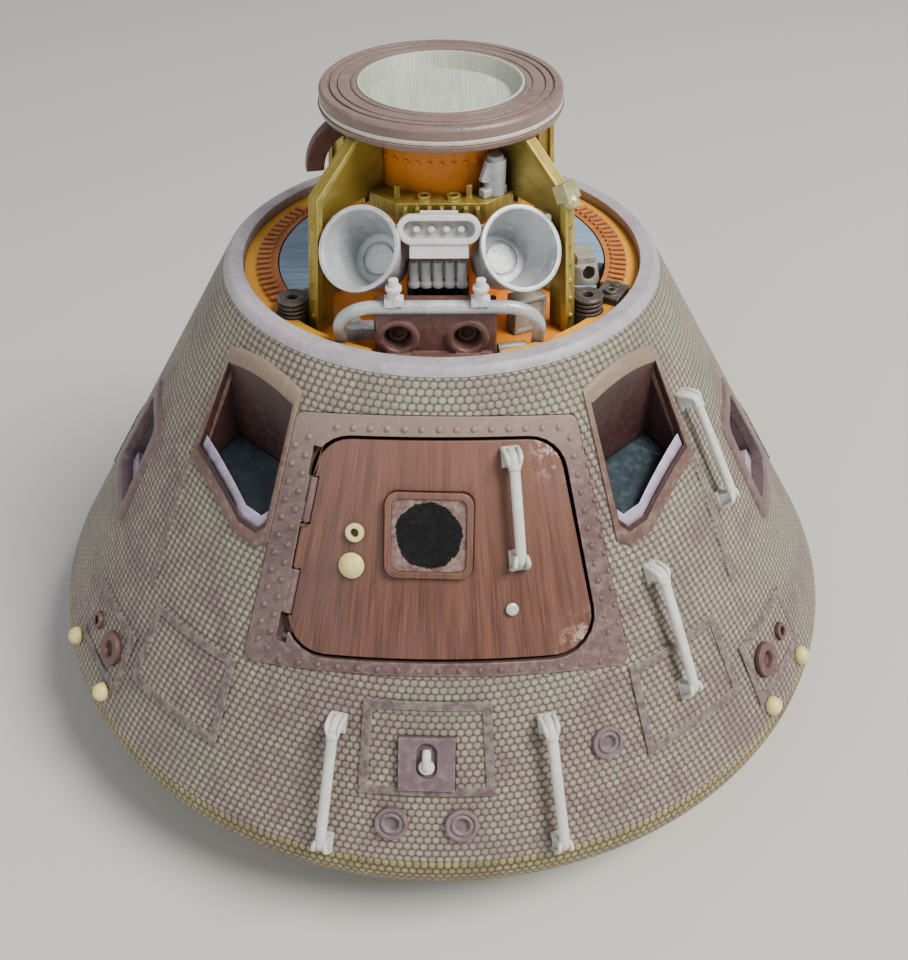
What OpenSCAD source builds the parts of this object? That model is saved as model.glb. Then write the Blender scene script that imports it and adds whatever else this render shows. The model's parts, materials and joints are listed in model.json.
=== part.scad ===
// Display model of a weathered conical crew capsule: open nose bay, hinged side hatch, flat foot.
// Z is up. The origin is the centre of the flat foot. The hatch faces -Y.

/* [Body] */
// widest diameter of the body
max_d = 160; // [140:1:180]
// height of the widest circle above the foot
max_z = 20; // [17:0.5:24]
// small radius of the rounded shoulder
rim_round = 8.2; // [6:0.1:10]
// half-angle of the cone, degrees
cone_a = 30.9; // [29:0.1:33]
// radius where the cone ends at the nose bay
bay_r = 38.4; // [34:0.1:43]
// radius of the spherical base
base_sphere_r = 192; // [175:1:215]
// thickness of the skin
skin_t = 2.6; // [2:0.1:4]

/* [Hatch] */
// half of the hatch's angle around the body, degrees
hatch_half = 24.3; // [21:0.1:26]
// height of the hatch's lower edge above the foot
hatch_low = 50.2; // [46:0.1:54]
// height of the hatch's upper edge above the foot
hatch_high = 81.0; // [77:0.1:85]
// thickness of the hatch
hatch_t = 2.0; // [1.6:0.1:2.6]
// gap between hatch and frame
hatch_gap = 0.55; // [0.5:0.05:0.8]
// corner radius of the hatch
hatch_round = 6; // [3:0.5:9]
// radius of the hinge pin
pin_r = 0.35; // [0.3:0.05:0.5]
// running clearance of the hinge pin, on the radius
pin_clear = 0.06; // [0.03:0.01:0.1]

/* [Nose bay] */
// radius of the tunnel
tunnel_r = 13.4; // [11:0.1:16]
// radius of the docking ring
ring_r = 19.75; // [18.8:0.05:22]
// top of the docking ring above the bay's rim
ring_rise = 30.3; // [26:0.1:34]
// distance from the axis to each flat of the shelf
shelf_in_r = 17; // [15:0.1:19]
// outer radius of each mortar cup
mortar_r = 6.8; // [6:0.1:7.2]

/* [Hidden] */
$fn = 96;
skin_fn = 480;
round_c = max_d / 2 - rim_round;
tan_z = max_z + rim_round * sin(cone_a);
tan_r = round_c + rim_round * cos(cone_a);
bay_z = tan_z + (tan_r - bay_r) / tan(cone_a);
crease_a = 19.8;
crease_z = max_z + rim_round * sin(crease_a);
crease_r = round_c + rim_round * cos(crease_a);
sphere_z = max_z + sqrt(pow(base_sphere_r - rim_round, 2) - pow(round_c, 2));
join_r = round_c * base_sphere_r / (base_sphere_r - rim_round);
join_z = sphere_z - sqrt(pow(base_sphere_r, 2) - pow(join_r, 2));
screw_pcr = 24;
deck_z = bay_z - 3.8;
spool_left = [-24.6, -19];
spool_right = [24.1, -18.5];
mort_az = 26;
mort_up = 38;
mort_x = 12.65;
nozzle_x = -1;
nozzle_w = 19.2;
nozzle_y = -27.6;
loop_w = 15.8;
loop_y = -25.9;
loop_h = 11.4;
loop_lean = 24;
loop_r = 1.05;
ring_z = bay_z + ring_rise;
ring_t = 3.7;
shelf_z = ring_z - 13.2;
shelf_t = 2.6;
hatch_az = -0.6;
hatch_mid = (hatch_low + hatch_high) / 2;
plate_t = 1.3;
plate_proud = 0.35;
knuckle_r = 0.7;
knuckle_sink = 0.38;
knuckle_gap = 0.3;
trough_r = knuckle_r + 0.2;
hinge_low = hatch_low + 5.4;
hinge_high = hatch_high - 5.4;
hinge_len = (hinge_high - hinge_low) / cos(cone_a);
knuckles = 3;
relief_r = knuckle_r + 0.45;
relief_len = 4.8;
knuckle_len = hinge_len / knuckles;
hinge_az = hatch_az - hatch_half;
liner_t = 1.6;
window_az = 44;
window_r = 43.4;
window_z = 68;
window_tilt = 20;
sill_w = 1.5;
pane_t = 0.8;
side_az = 78;
side_z = 56.5;
side_depth = 8.5;
rim_in_r = bay_r - 3.2;
bay_ring_h = 2.6;
border_w = 1.5;
cover_r = 13.55;
sink = 0.6;

function skin_r(z) = bay_r + (bay_z - z) * tan(cone_a);
function lift_r(z, o) = skin_r(z) + o / cos(cone_a);
function unit(v) = v / norm(v);
function turn(a) = a > 180 ? a - 360 : a < -180 ? a + 360 : a;
function corner(p, a, b, r, n) =
    let (u = unit(a - p), v = unit(b - p), h = acos(u * v) / 2,
         c = p + unit(u + v) * r / sin(h),
         s = p + u * r / tan(h) - c, e = p + v * r / tan(h) - c,
         a0 = atan2(s[1], s[0]), da = turn(atan2(e[1], e[0]) - a0))
    [for (i = [0:n]) c + r * [cos(a0 + da * i / n), sin(a0 + da * i / n)]];
function rounded(p, r, n = 6) =
    [for (k = [0:len(p) - 1])
        each corner(p[k], p[(k + len(p) - 1) % len(p)], p[(k + 1) % len(p)], r, n)];
// a point on the skin at azimuth d from the hatch's middle, in the hatch's tangent plane
function flat_xy(d, z, o = 0) =
    let (r = skin_r(z), m = skin_r(hatch_mid))
    [r * sin(d) + o * sign(d),
     sin(cone_a) * (m - r * cos(d)) + (z - hatch_mid) * cos(cone_a) + o * sign(z - hatch_mid)];
function hatch_outline(o) =
    rounded([flat_xy(-hatch_half, hatch_low, o), flat_xy(hatch_half, hatch_low, o),
             flat_xy(hatch_half, hatch_high, o), flat_xy(-hatch_half, hatch_high, o)],
            hatch_round + o);
function frame_outline(o) =
    rounded([flat_xy(-30, hatch_low - 3.6, o), flat_xy(28.8, hatch_low - 3.6, o),
             flat_xy(29.6, hatch_high + 2.4, o), flat_xy(-31.2, hatch_high + 2.4, o)], 1.5);
function polar(r, a) = [r * sin(a), -r * cos(a)];
function window_plan(s, o) =
    [polar(43.1 - o, s * (54.9 + o)), polar(43.2 - o, s * (33.1 - o)),
     polar(53.4 + o, s * (32.3 - o)), polar(54.3 + o, s * (33.9 - o / 2)),
     polar(54.1 + o, s * (37.8 + o / 3)), polar(51.1 + o, s * (53.8 + o))];

module on_skin(az, z, lift = 0) {
    rotate([0, 0, az]) translate([0, -skin_r(z), z])
        rotate([90 - cone_a, 0, 0]) translate([0, 0, lift]) children();
}
module cone_solid(o, z0, z1) {
    translate([0, 0, z0])
        cylinder(h = z1 - z0, r1 = lift_r(z0, o), r2 = lift_r(z1, o), $fn = skin_fn);
}
module cone_layer(low, high, z0, z1) {
    difference() {
        cone_solid(high, z0, z1);
        translate([0, 0, z0 - 1])
            cylinder(h = z1 - z0 + 2, r1 = lift_r(z0 - 1, low), r2 = lift_r(z1 + 1, low),
                     $fn = skin_fn);
    }
}
module prism(outline, low = -12, high = 12) {
    on_skin(hatch_az, hatch_mid, low) linear_extrude(high - low) polygon(outline);
}
module ring(r0, r1, h) {
    difference() {
        cylinder(h = h, r = r1);
        translate([0, 0, -1]) cylinder(h = h + 2, r = r0);
    }
}
module box(w, d, h) {
    translate([-w / 2, -d / 2, 0]) cube([w, d, h]);
}
module hinge_axis(depth = knuckle_sink) {
    rotate([0, 0, hinge_az]) translate([0, -skin_r(hinge_low), hinge_low])
        rotate([-cone_a, 0, 0]) translate([0, depth, 0]) children();
}
module knuckle(k, r, extra = 0) {
    hinge_axis() translate([0, 0, k * knuckle_len + knuckle_gap / 2 - extra])
        cylinder(h = knuckle_len - knuckle_gap + 2 * extra, r = r, $fn = 48);
}
module pin_hole(r) {
    hinge_axis() translate([0, 0, -3]) cylinder(h = hinge_len + 6, r = r, $fn = 48);
}
module window_well(s, o) {
    translate([0, 0, 40]) linear_extrude(60) polygon(window_plan(s, o));
}
// everything above the sloping floor of a nose window, d below the floor
module above_floor(s, d) {
    rotate([0, 0, s * window_az]) translate([0, -window_r, window_z - d])
        rotate([window_tilt, 0, 0]) translate([-25, -30, 0]) cube([50, 60, 60]);
}
module recess_hole(s) {
    intersection() {
        window_well(s, 0.9);
        above_floor(s, 1.6);
    }
}
// trims away whatever lies under the surface o above the skin
module off_skin(o = 0) {
    difference() {
        children();
        cone_solid(o, max_z, bay_z);
    }
}
module side_outline(w, h, r) {
    linear_extrude(20)
        polygon(rounded([[-w * 0.55, -h / 2], [w * 0.55, -h / 2], [w * 0.42, h / 2],
                         [-w * 0.42, h / 2]], r));
}

// ---------- body ----------
module aft_dish() {
    color([0.5, 0.46, 0.32]) difference() {
        intersection() {
            union() {
                rotate_extrude() translate([round_c, max_z]) circle(rim_round);
                intersection() {
                    translate([0, 0, sphere_z]) sphere(base_sphere_r, $fn = 180);
                    cylinder(h = max_z, r = join_r);
                }
                translate([0, 0, join_z]) cylinder(h = crease_z - join_z, r = round_c);
            }
            cylinder(h = crease_z - 0.05, r = max_d);
        }
        translate([0, 0, 5]) cylinder(h = crease_z, r1 = 46, r2 = round_c + 2);
        for (a = [45:90:315]) rotate([0, 0, a]) translate([screw_pcr, 0, -1]) {
            cylinder(h = 3.2, r = 2.8);
            cylinder(h = 12, r = 1.3);
        }
    }
}
module base_screws() {
    color([0.55, 0.55, 0.55]) for (a = [45:90:315]) rotate([0, 0, a]) translate([screw_pcr, 0, 0]) {
        difference() {
            translate([0, 0, 0.7]) cylinder(h = 1.45, r = 2.5);
            translate([-0.3, -1.7, 0.5]) cube([0.6, 3.4, 0.9]);
            translate([-1.7, -0.3, 0.5]) cube([3.4, 0.6, 0.9]);
        }
        translate([0, 0, 2]) cylinder(h = 10, r = 1.2);
    }
}
module cabin_floor() {
    color([0.35, 0.36, 0.34]) {
        translate([0, 0, crease_z]) ring(4, round_c + 1.5, 1.6);
        for (a = [45:90:315]) rotate([0, 0, a]) translate([screw_pcr, 0, 5.1]) difference() {
            cylinder(h = crease_z - 5, r = 3.2);
            translate([0, 0, -1]) cylinder(h = 9.5, r = 1.25);
        }
    }
}
module cone_shell() {
    color([0.6, 0.55, 0.5]) difference() {
        union() {
            translate([0, 0, crease_z])
                cylinder(h = tan_z - crease_z, r1 = crease_r, r2 = tan_r);
            cone_solid(0, tan_z, bay_z - 0.9);
        }
        translate([0, 0, crease_z - 1]) cylinder(h = 2.7, r = round_c + 1.6);
        cone_solid(-skin_t, crease_z + 1.6, bay_z - 7.4);
        translate([0, 0, bay_z - 7.6]) cylinder(h = 10, r = bay_r - 4.2);
        translate([0, 0, deck_z - 2.02]) cylinder(h = 10, r = bay_r - 2.6);
        intersection() {
            prism(frame_outline(0));
            cone_layer(-plate_t, 5, hatch_low - 12, hatch_high + 12);
        }
        prism(hatch_outline(1.6));
        for (s = [-1, 1]) recess_hole(s);
        for (s = [-1, 1]) on_skin(s * side_az, side_z, -10) side_outline(16, 20, 2.2);
    }
}
module hatch_frame() {
    color([0.5, 0.4, 0.38]) difference() {
        union() {
            difference() {
                union() {
                    intersection() {
                        prism(frame_outline(-0.05));
                        cone_layer(-plate_t + 0.02, plate_proud, hatch_low - 12, hatch_high + 12);
                    }
                    intersection() {
                        prism(hatch_outline(1.5));
                        cone_layer(-skin_t - 0.6, 0, hatch_low - 12, hatch_high + 12);
                    }
                }
                prism(hatch_outline(hatch_gap));
            }
            for (k = [0:2:knuckles - 1]) knuckle(k, knuckle_r);
            on_skin(hatch_az + 22.5, hatch_mid, -hatch_t - 1.4)
                translate([-1.2, -3, 0]) cube([4.1, 6, 1.1]);
        }
        for (k = [1:2:knuckles - 1]) knuckle(k, trough_r, knuckle_gap);
        pin_hole(pin_r + 0.02);
        for (z = [-relief_len, hinge_len - knuckle_gap / 2]) hinge_axis() translate([0, 0, z])
            cylinder(h = relief_len + knuckle_gap / 2, r = relief_r, $fn = 48);
        for (s = [-1, 1]) recess_hole(s);
    }
}
module rivet(az, z) {
    off_skin(plate_proud) on_skin(az, z, plate_proud - 0.2)
        cylinder(h = 0.55, r1 = 0.75, r2 = 0.45, $fn = 24);
}
module frame_rivets() {
    color([0.52, 0.42, 0.4]) {
        for (i = [0:9]) for (s = [-1, 1]) rivet(hatch_az + s * 27.2, hatch_low - 1 + i * 3.6);
        for (i = [-4:4]) {
            rivet(hatch_az + i * 5.4, hatch_low - 2.4 + 0.9 * cos(i * 20));
            rivet(hatch_az + i * 6.2, hatch_high + 2.2 + 0.9 * cos(i * 20));
        }
    }
}
module hinge_pin() {
    color([0.72, 0.6, 0.35]) hinge_axis() translate([0, 0, knuckle_gap])
        cylinder(h = hinge_len - 2 * knuckle_gap, r = pin_r, $fn = 48);
}

// ---------- hatch ----------
module hatch_panel() {
    color([0.52, 0.36, 0.31]) difference() {
        union() {
            difference() {
                intersection() {
                    prism(hatch_outline(0));
                    cone_layer(-hatch_t, 0, hatch_low - 12, hatch_high + 12);
                }
                for (k = [0:2:knuckles - 1]) knuckle(k, trough_r, knuckle_gap);
                hinge_axis() translate([-6, -2, -0.4]) cube([6, 6, hinge_len + 0.8]);
            }
            for (k = [1:2:knuckles - 1]) knuckle(k, knuckle_r);
        }
        pin_hole(pin_r + pin_clear);
        on_skin(hatch_az - 1.8, 70, -4) cylinder(h = 8, r = 5.4);
        on_skin(hatch_az - 1.8, 70, -0.7)
            linear_extrude(5) polygon(rounded([[-7, -6.9], [7, -6.9], [7, 6.9], [-7, 6.9]], 2));
    }
}
module hatch_window_frame() {
    color([0.5, 0.36, 0.32]) on_skin(hatch_az - 1.8, 70, -0.65) difference() {
        linear_extrude(1.35)
            polygon(rounded([[-6.9, -6.8], [6.9, -6.8], [6.9, 6.8], [-6.9, 6.8]], 2));
        translate([0, 0, 0.75]) linear_extrude(2)
            polygon(rounded([[-5.9, -5.8], [5.9, -5.8], [5.9, 5.8], [-5.9, 5.8]], 1.4));
        translate([0, 0, -1]) cylinder(h = 4, r = 4.7);
    }
}
module hatch_pane() {
    color([0.05, 0.05, 0.06]) on_skin(hatch_az - 1.8, 70, -1.9) {
        cylinder(h = 1.22, r = 5.3);
        cylinder(h = 1.7, r = 4.6);
    }
}
module hatch_liner() {
    color([0.55, 0.56, 0.52]) difference() {
        intersection() {
            prism(rounded([[-14, -11], [16, -11], [12.5, 16], [-10.5, 16]], 3));
            cone_layer(-hatch_t - liner_t, -hatch_t, hatch_low - 12, hatch_high + 12);
        }
        on_skin(hatch_az - 1.8, 70, -8) cylinder(h = 9, r = 4.6);
        on_skin(hatch_az, 57.5, -9) translate([-9, -2, 0]) cube([18, 5, 9 - hatch_t - 0.8]);
    }
}
module hatch_latch() {
    color([0.62, 0.62, 0.6]) difference() {
        on_skin(hatch_az + 9.5, hatch_mid - 1, -hatch_t - liner_t - 1.5) {
            cylinder(h = 2.4, r = 1.6, $fn = 48);
            translate([-0.8, 0, 0]) cube([1.6, 7, 1]);
        }
        cone_layer(-hatch_t - liner_t, 0, hatch_low - 12, hatch_high + 12);
    }
}
module handle_bar(len, rise, r, foot) {
    for (s = [-1, 1]) translate([0, s * len / 2, 0]) {
        translate([-foot, -foot * 1.3, -sink]) cube([2 * foot, 2.6 * foot, 0.6 + sink]);
        cylinder(h = rise, r = r * 0.95, $fn = 40);
        translate([0, 0, rise]) sphere(r * 1.35, $fn = 40);
        translate([-foot * 0.8, -0.5, 0]) cube([foot * 1.6, 1, rise * 0.8]);
    }
    translate([0, -len / 2, rise]) rotate([-90, 0, 0]) cylinder(h = len, r = r, $fn = 40);
}
module hatch_handrail() {
    color([0.85, 0.85, 0.82]) off_skin() on_skin(hatch_az + 13.5, 72.9) rotate([0, 0, -2])
        handle_bar(16.5, 2.4, 0.7, 1.2);
}
module knobs() {
    color([0.92, 0.88, 0.62]) off_skin() {
        on_skin(hatch_az - 14.7, 69.4, -sink) ring(0.7, 1.5, 0.8 + sink);
        on_skin(hatch_az - 14.6, 64.8, -sink) {
            cylinder(h = 0.5 + sink, r = 2.05);
            translate([0, 0, sink - 1.2]) intersection() {
                sphere(2.6);
                translate([0, 0, 1.1]) cylinder(h = 3, r = 2.0);
            }
        }
    }
}
module plug() {
    color([0.75, 0.75, 0.74]) off_skin() on_skin(hatch_az + 11.4, 59.2, -sink) difference() {
        cylinder(h = 0.5 + sink, r = 0.95);
        translate([0, 0, sink + 0.2]) cylinder(h = 1, r = 0.4);
    }
}

// ---------- windows ----------
module recess(s) {
    color([0.3, 0.17, 0.17]) difference() {
        intersection() {
            window_well(s, 0.85);
            above_floor(s, 1.5);
            cone_solid(plate_proud, 40, 96);
        }
        intersection() {
            window_well(s, 0);
            above_floor(s, 0);
        }
    }
}
module sill(s) {
    p = window_plan(s, -0.05);
    color([0.68, 0.64, 0.74]) intersection() {
        translate([0, 0, 40]) linear_extrude(60)
            polygon([for (i = [2:5]) p[i], for (i = [5:-1:2]) p[i] - sill_w * unit(p[i])]);
        above_floor(s, -0.05);
        cone_solid(-0.25, 40, 96);
    }
}
module pane(s) {
    p = window_plan(s, -0.1);
    d = sill_w + 0.1;
    color([0.2, 0.27, 0.32, 0.7]) intersection() {
        translate([0, 0, 40]) linear_extrude(60)
            polygon([p[0], p[1], for (i = [2:5]) p[i] - d * unit(p[i])]);
        difference() {
            above_floor(s, -0.05);
            above_floor(s, -0.05 - pane_t);
        }
    }
}
module side_tub(s) {
    color([0.45, 0.36, 0.35]) intersection() {
        on_skin(s * side_az, side_z, -side_depth) difference() {
            linear_extrude(side_depth + 4)
                polygon(rounded([[-8.75, -9.95], [8.75, -9.95], [6.68, 9.95], [-6.68, 9.95]], 2.15));
            translate([0, 0, 0.9]) linear_extrude(20)
                polygon(rounded([[-7.5, -8.7], [7.5, -8.7], [5.6, 8.7], [-5.6, 8.7]], 1.6));
        }
        cone_solid(plate_proud, 35, 85);
    }
}
module side_glass(s) {
    color([0.2, 0.27, 0.32]) on_skin(s * side_az, side_z, 0.92 - side_depth)
        linear_extrude(pane_t)
            polygon(rounded([[-7.4, -8.6], [7.4, -8.6], [5.5, 8.6], [-5.5, 8.6]], 1.5));
}
module side_sill(s) {
    color([0.75, 0.68, 0.55]) on_skin(s * side_az, side_z, 0.94 - side_depth + pane_t)
        translate([-6, -8.65, 0]) cube([12, 2.9, 4.6]);
}

// ---------- things on the skin ----------
module skin_panels() {
    color([0.6, 0.55, 0.5]) for (a = [-40.2, 36.4, 108, 145, 215, 252])
        on_skin_panel(a, 39.5, 22.6, 20.2);
}
// a raised frame that follows the cone
module on_skin_panel(az, z, wb, wt, h = 8) {
    b = border_w;
    difference() {
        intersection() {
            on_skin(az, z, -6) linear_extrude(12)
                polygon([[-wb / 2, -h], [wb / 2, -h], [wt / 2, h], [-wt / 2, h]]);
            cone_layer(0, 0.45, z - 14, z + 14);
        }
        intersection() {
            on_skin(az, z, -6) linear_extrude(12)
                polygon([[b - wb / 2, b - h], [wb / 2 - b, b - h], [wt / 2 - b, h - b],
                         [b - wt / 2, h - b]]);
            cone_layer(0.12, 2, z - 15, z + 15);
        }
    }
}
module under_panel() {
    color([0.55, 0.5, 0.47]) difference() {
        on_skin_panel(-2.2, 39.9, 22.4, 20.6);
        on_skin(-2.2, 37.9, -3) box(9.4, 9.2, 6);
    }
}
module boss_block() {
    color([0.55, 0.48, 0.46]) off_skin() on_skin(-2.2, 37.9, -0.5) difference() {
        box(9.2, 9, 1.6);
        translate([0, 0.6, 0.9]) {
            translate([0, 1.3, 0]) cylinder(h = 3, r = 1.7);
            translate([0, -1.3, 0]) cylinder(h = 3, r = 1.7);
            translate([-1.7, -1.3, 0]) cube([3.4, 2.6, 3]);
        }
    }
}
module boss_spout() {
    color([0.78, 0.77, 0.72]) on_skin(-2.2, 37.9, 0.35) translate([0, 0.6, 0]) {
        translate([0, -1.1, 0]) cylinder(h = 0.55, r = 1.3);
        translate([-0.75, -1, 0]) cube([1.5, 3, 0.65]);
    }
}
module port(az, z) {
    off_skin() on_skin(az, z, -0.4) difference() {
        cylinder(h = 1.2, r1 = 2.9, r2 = 2.7);
        translate([0, 0, 0.5]) cylinder(h = 2, r = 1.3);
        translate([0, 0, 0.9]) ring(1.7, 2.1, 1);
    }
}
module vent_ports() {
    color([0.5, 0.45, 0.45]) {
        port(-6.4, 28.7);
        port(2.2, 28.7);
        port(22.2, 36.8);
    }
}
function jet_az(s) = s > 0 ? 55.3 : -58.4;
module jet_panel(s) {
    color([0.55, 0.5, 0.47]) difference() {
        on_skin_panel(jet_az(s), 32.8, 19.5, 18.4, 6.4);
        on_skin(jet_az(s) - s * 3.1, 32.5, -3) cylinder(h = 8, r = 3.2);
        on_skin(jet_az(s) + s * 2.9, 32.8, -3) cylinder(h = 8, r = 1.7);
    }
}
module jet_cup(s) {
    color([0.42, 0.3, 0.28]) off_skin() {
        on_skin(jet_az(s) - s * 3.1, 32.5, -0.5) difference() {
            cylinder(h = 1.7, r = 3.1);
            translate([0, 0, 0.7]) cylinder(h = 3, r1 = 1.2, r2 = 2.6);
        }
        on_skin(jet_az(s) + s * 2.9, 32.8, -0.5) ring(0.9, 1.6, 1.5);
    }
}
module antenna_domes() {
    color([0.92, 0.88, 0.62]) off_skin() for (a = [-65.3, -53.7, 50.1, 60.6])
        on_skin(a, 25.3, 0.4) sphere(1.75, $fn = 48);
}
module skin_rail(az, z, len, lean) {
    color([0.85, 0.85, 0.82]) off_skin() on_skin(az, z) rotate([0, 0, lean])
        handle_bar(len, 2.7, 0.75, 1.3);
}
module umbilical_cover() {
    color([0.55, 0.5, 0.47]) off_skin() on_skin(180, 42, -1) {
        linear_extrude(3) polygon(rounded([[-9, -9], [9, -9], [7, 9], [-7, 9]], 2));
        translate([0, 0, 2.9]) linear_extrude(1.3)
            polygon(rounded([[-5, -6], [5, -6], [4, 6], [-4, 6]], 1.5));
    }
}

// ---------- cabin ----------
module couch(x) {
    translate([x, 5, crease_z + 1.6]) rotate([0, 0, 180]) {
        translate([-6, -16, 0]) cube([12, 26, 1.4]);
        translate([-6.5, -16, 1.4]) cube([1.4, 24, 2.2]);
        translate([5.1, -16, 1.4]) cube([1.4, 24, 2.2]);
        translate([-5, -15.5, 1.4]) cube([10, 6, 2.8]);
        translate([-5, 10, 0]) rotate([55, 0, 0]) cube([10, 12, 1.4]);
    }
}
module instrument_panel() {
    color([0.5, 0.52, 0.5]) translate([0, 16, 60]) rotate([-20, 0, 0]) {
        difference() {
            translate([-24, -1, -9]) cube([48, 2, 18]);
            for (i = [-3:3]) translate([i * 6.4, -1.8, 4]) rotate([-90, 0, 0])
                cylinder(h = 1.4, r = 2, $fn = 40);
            translate([-20, -1.8, -6]) cube([40, 1.4, 6]);
        }
    }
    color([0.5, 0.52, 0.5]) for (s = [-1, 1])
        translate([s * 18, 20, 58]) cylinder(h = deck_z - 58 - 2.02, r = 1.1, $fn = 40);
}

// ---------- nose bay ----------
module deck_rim() {
    color([0.62, 0.6, 0.66]) difference() {
        translate([0, 0, bay_z - 0.85]) union() {
            cylinder(h = 0.85, r1 = bay_r + 0.45, r2 = bay_r);
            translate([0, 0, 0.85]) cylinder(h = 0.6, r1 = bay_r, r2 = bay_r - 0.8);
            translate([0, 0, -1.8]) cylinder(h = 1.9, r = bay_r - 2.65);
        }
        translate([0, 0, bay_z - 8]) cylinder(h = 14, r = rim_in_r);
    }
}
module deck_floor() {
    color([0.78, 0.45, 0.12]) difference() {
        translate([0, 0, deck_z - 2]) cylinder(h = 2, r = bay_r - 2.7);
        for (s = [-1, 1]) translate([s * 18, 20, deck_z - 3]) cylinder(h = 1.2, r = 1.2);
    }
}
module bay_ring() {
    color([0.93, 0.7, 0.22]) translate([0, 0, deck_z]) difference() {
        cylinder(h = bay_ring_h, r = rim_in_r - 0.05);
        translate([0, 0, -1]) cylinder(h = 6, r = bay_r - 6.4);
        for (p = [spool_left, spool_right]) translate([p[0], p[1], -1]) cylinder(h = 6, r = 2.8);
        translate([nozzle_x - nozzle_w / 2 - 0.5, -bay_r, -1]) cube([nozzle_w + 1, 12, 6]);
        for (s = [-1, 1]) translate([s * loop_w, loop_y - 0.6, -1]) cylinder(h = 6, r = 2);
    }
}
module fin_row(first, last, count) {
    rotate([0, 0, first - 90]) rotate_extrude(angle = last - first)
        translate([bay_r - 9.2, 0]) square([1.6, bay_ring_h + 0.4]);
    for (i = [0:count - 1]) rotate([0, 0, first + 1 + i * (last - first - 2) / (count - 1)])
        translate([-0.45, -bay_r + 5.5, bay_ring_h + 0.02]) cube([0.9, 2.6, 0.8]);
}
module bay_fins() {
    color([0.62, 0.34, 0.18]) translate([0, 0, deck_z]) {
        fin_row(-123, -60, 20);
        fin_row(69, 123, 18);
    }
}
module blue_panel(s) {
    color([0.45, 0.56, 0.68]) translate([0, 0, deck_z]) difference() {
        intersection() {
            cylinder(h = bay_ring_h + 0.3, r = bay_r - 9.4);
            rotate([0, 0, s * 95])
                linear_extrude(4) polygon([[0, -8], [18, -26], [18, -45], [-18, -45], [-18, -26]]);
        }
        translate([0, 0, -1]) cylinder(h = 9, r = 19);
        if (s > 0) translate([20.9, -11.4, -1]) cube([9.8, 7.8, 9]);
    }
}
module tunnel() {
    color([0.85, 0.47, 0.1]) translate([0, 0, deck_z]) {
        difference() {
            cylinder(h = ring_z - ring_t - deck_z, r = tunnel_r);
            translate([0, 0, 2]) cylinder(h = 60, r = tunnel_r - 1.6);
        }
        for (a = [-80:8:80]) rotate([0, 0, a])
            translate([0, -tunnel_r + 0.1, ring_z - deck_z - 8.2]) rotate([90, 0, 0])
                cylinder(h = 0.45, r = 0.33, $fn = 16);
    }
}
module docking_ring() {
    color([0.42, 0.32, 0.3]) difference() {
        translate([0, 0, ring_z - ring_t]) union() {
            cylinder(h = 1, r1 = ring_r, r2 = ring_r + 0.3);
            cylinder(h = 2, r = ring_r - 1);
            translate([0, 0, 1.8]) cylinder(h = 1.4, r = ring_r);
            translate([0, 0, 3.2]) cylinder(h = 0.5, r1 = ring_r, r2 = ring_r - 0.4);
        }
        translate([0, 0, ring_z - ring_t - 1]) cylinder(h = 9, r = cover_r + 0.05);
        translate([0, 0, ring_z - 0.35]) ring(17.9, 18.3, 2);
        translate([0, 0, ring_z - 0.3]) ring(16.6, 16.9, 2);
        translate([0, 0, ring_z - 0.25]) ring(14.5, 14.8, 2);
    }
}
module ring_seal() {
    color([0.85, 0.82, 0.76]) translate([0, 0, ring_z - ring_t + 1.02])
        ring(ring_r - 0.98, ring_r + 0.05, 0.76);
}
module tunnel_cover() {
    color([0.78, 0.8, 0.76]) translate([0, 0, ring_z]) difference() {
        union() {
            translate([0, 0, -3.2]) cylinder(h = 3.35, r = cover_r);
            translate([0, 0, -ring_t - 1.5]) cylinder(h = 3, r = tunnel_r - 1.7);
        }
        translate([0, 0, -2.3]) cylinder(h = 2.7, r1 = 11.4, r2 = cover_r - 0.3);
        for (s = [-1, 1]) translate([0, s * 10.6, -2.6]) cylinder(h = 1, r = 0.35, $fn = 20);
    }
}
module shelf_plate() {
    color([0.62, 0.52, 0.22]) translate([0, 0, shelf_z - shelf_t]) difference() {
        union() {
            rotate([0, 0, 22.5])
                cylinder(h = shelf_t, r = shelf_in_r / cos(22.5), $fn = 8);
            for (i = [-3:3]) translate([i * 1.9, -shelf_in_r - 0.35, 0])
                box(0.6, 0.9, shelf_t - 0.5);
        }
        translate([0, 0, -1]) cylinder(h = 6, r = tunnel_r + 0.05);
        for (a = [45:90:315]) rotate([0, 0, a]) translate([-0.55, -30, -1]) cube([1.1, 20, 6]);
    }
}
module shelf_pins() {
    color([0.78, 0.68, 0.32]) translate([0, 0, shelf_z]) {
        for (x = [-2.7, 1.9]) translate([x, -15.2, 0]) ring(0.6, 1.15, 0.7);
        for (x = [-7, 4.4]) translate([x, -14.4, 0]) box(0.9, 0.9, 2);
    }
}
module gusset(a) {
    color([0.65, 0.56, 0.26]) rotate([0, 0, a]) {
        rotate([90, 0, -90]) translate([0, 0, -0.5]) linear_extrude(1)
            polygon([[tunnel_r + 0.1, shelf_z - 0.5], [tunnel_r + 0.1, ring_z - ring_t],
                     [18.8, ring_z - ring_t], [27.6, shelf_z + 2.2], [29.6, deck_z],
                     [26, deck_z], [24.8, shelf_z - 1.6]]);
        rotate([90, 0, -90]) translate([0, 0, -1.1]) linear_extrude(2.2)
            polygon([[19.2, ring_z - ring_t], [28, shelf_z + 2.3], [30.2, deck_z],
                     [29, deck_z], [26.9, shelf_z + 1.8], [18.1, ring_z - ring_t]]);
        for (i = [0:5]) translate([0, -29.75 + i * 0.35, deck_z + 3 + i * 3.1])
            rotate([90, 0, 0]) cylinder(h = 0.5, r = 0.4, $fn = 20);
    }
}
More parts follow.
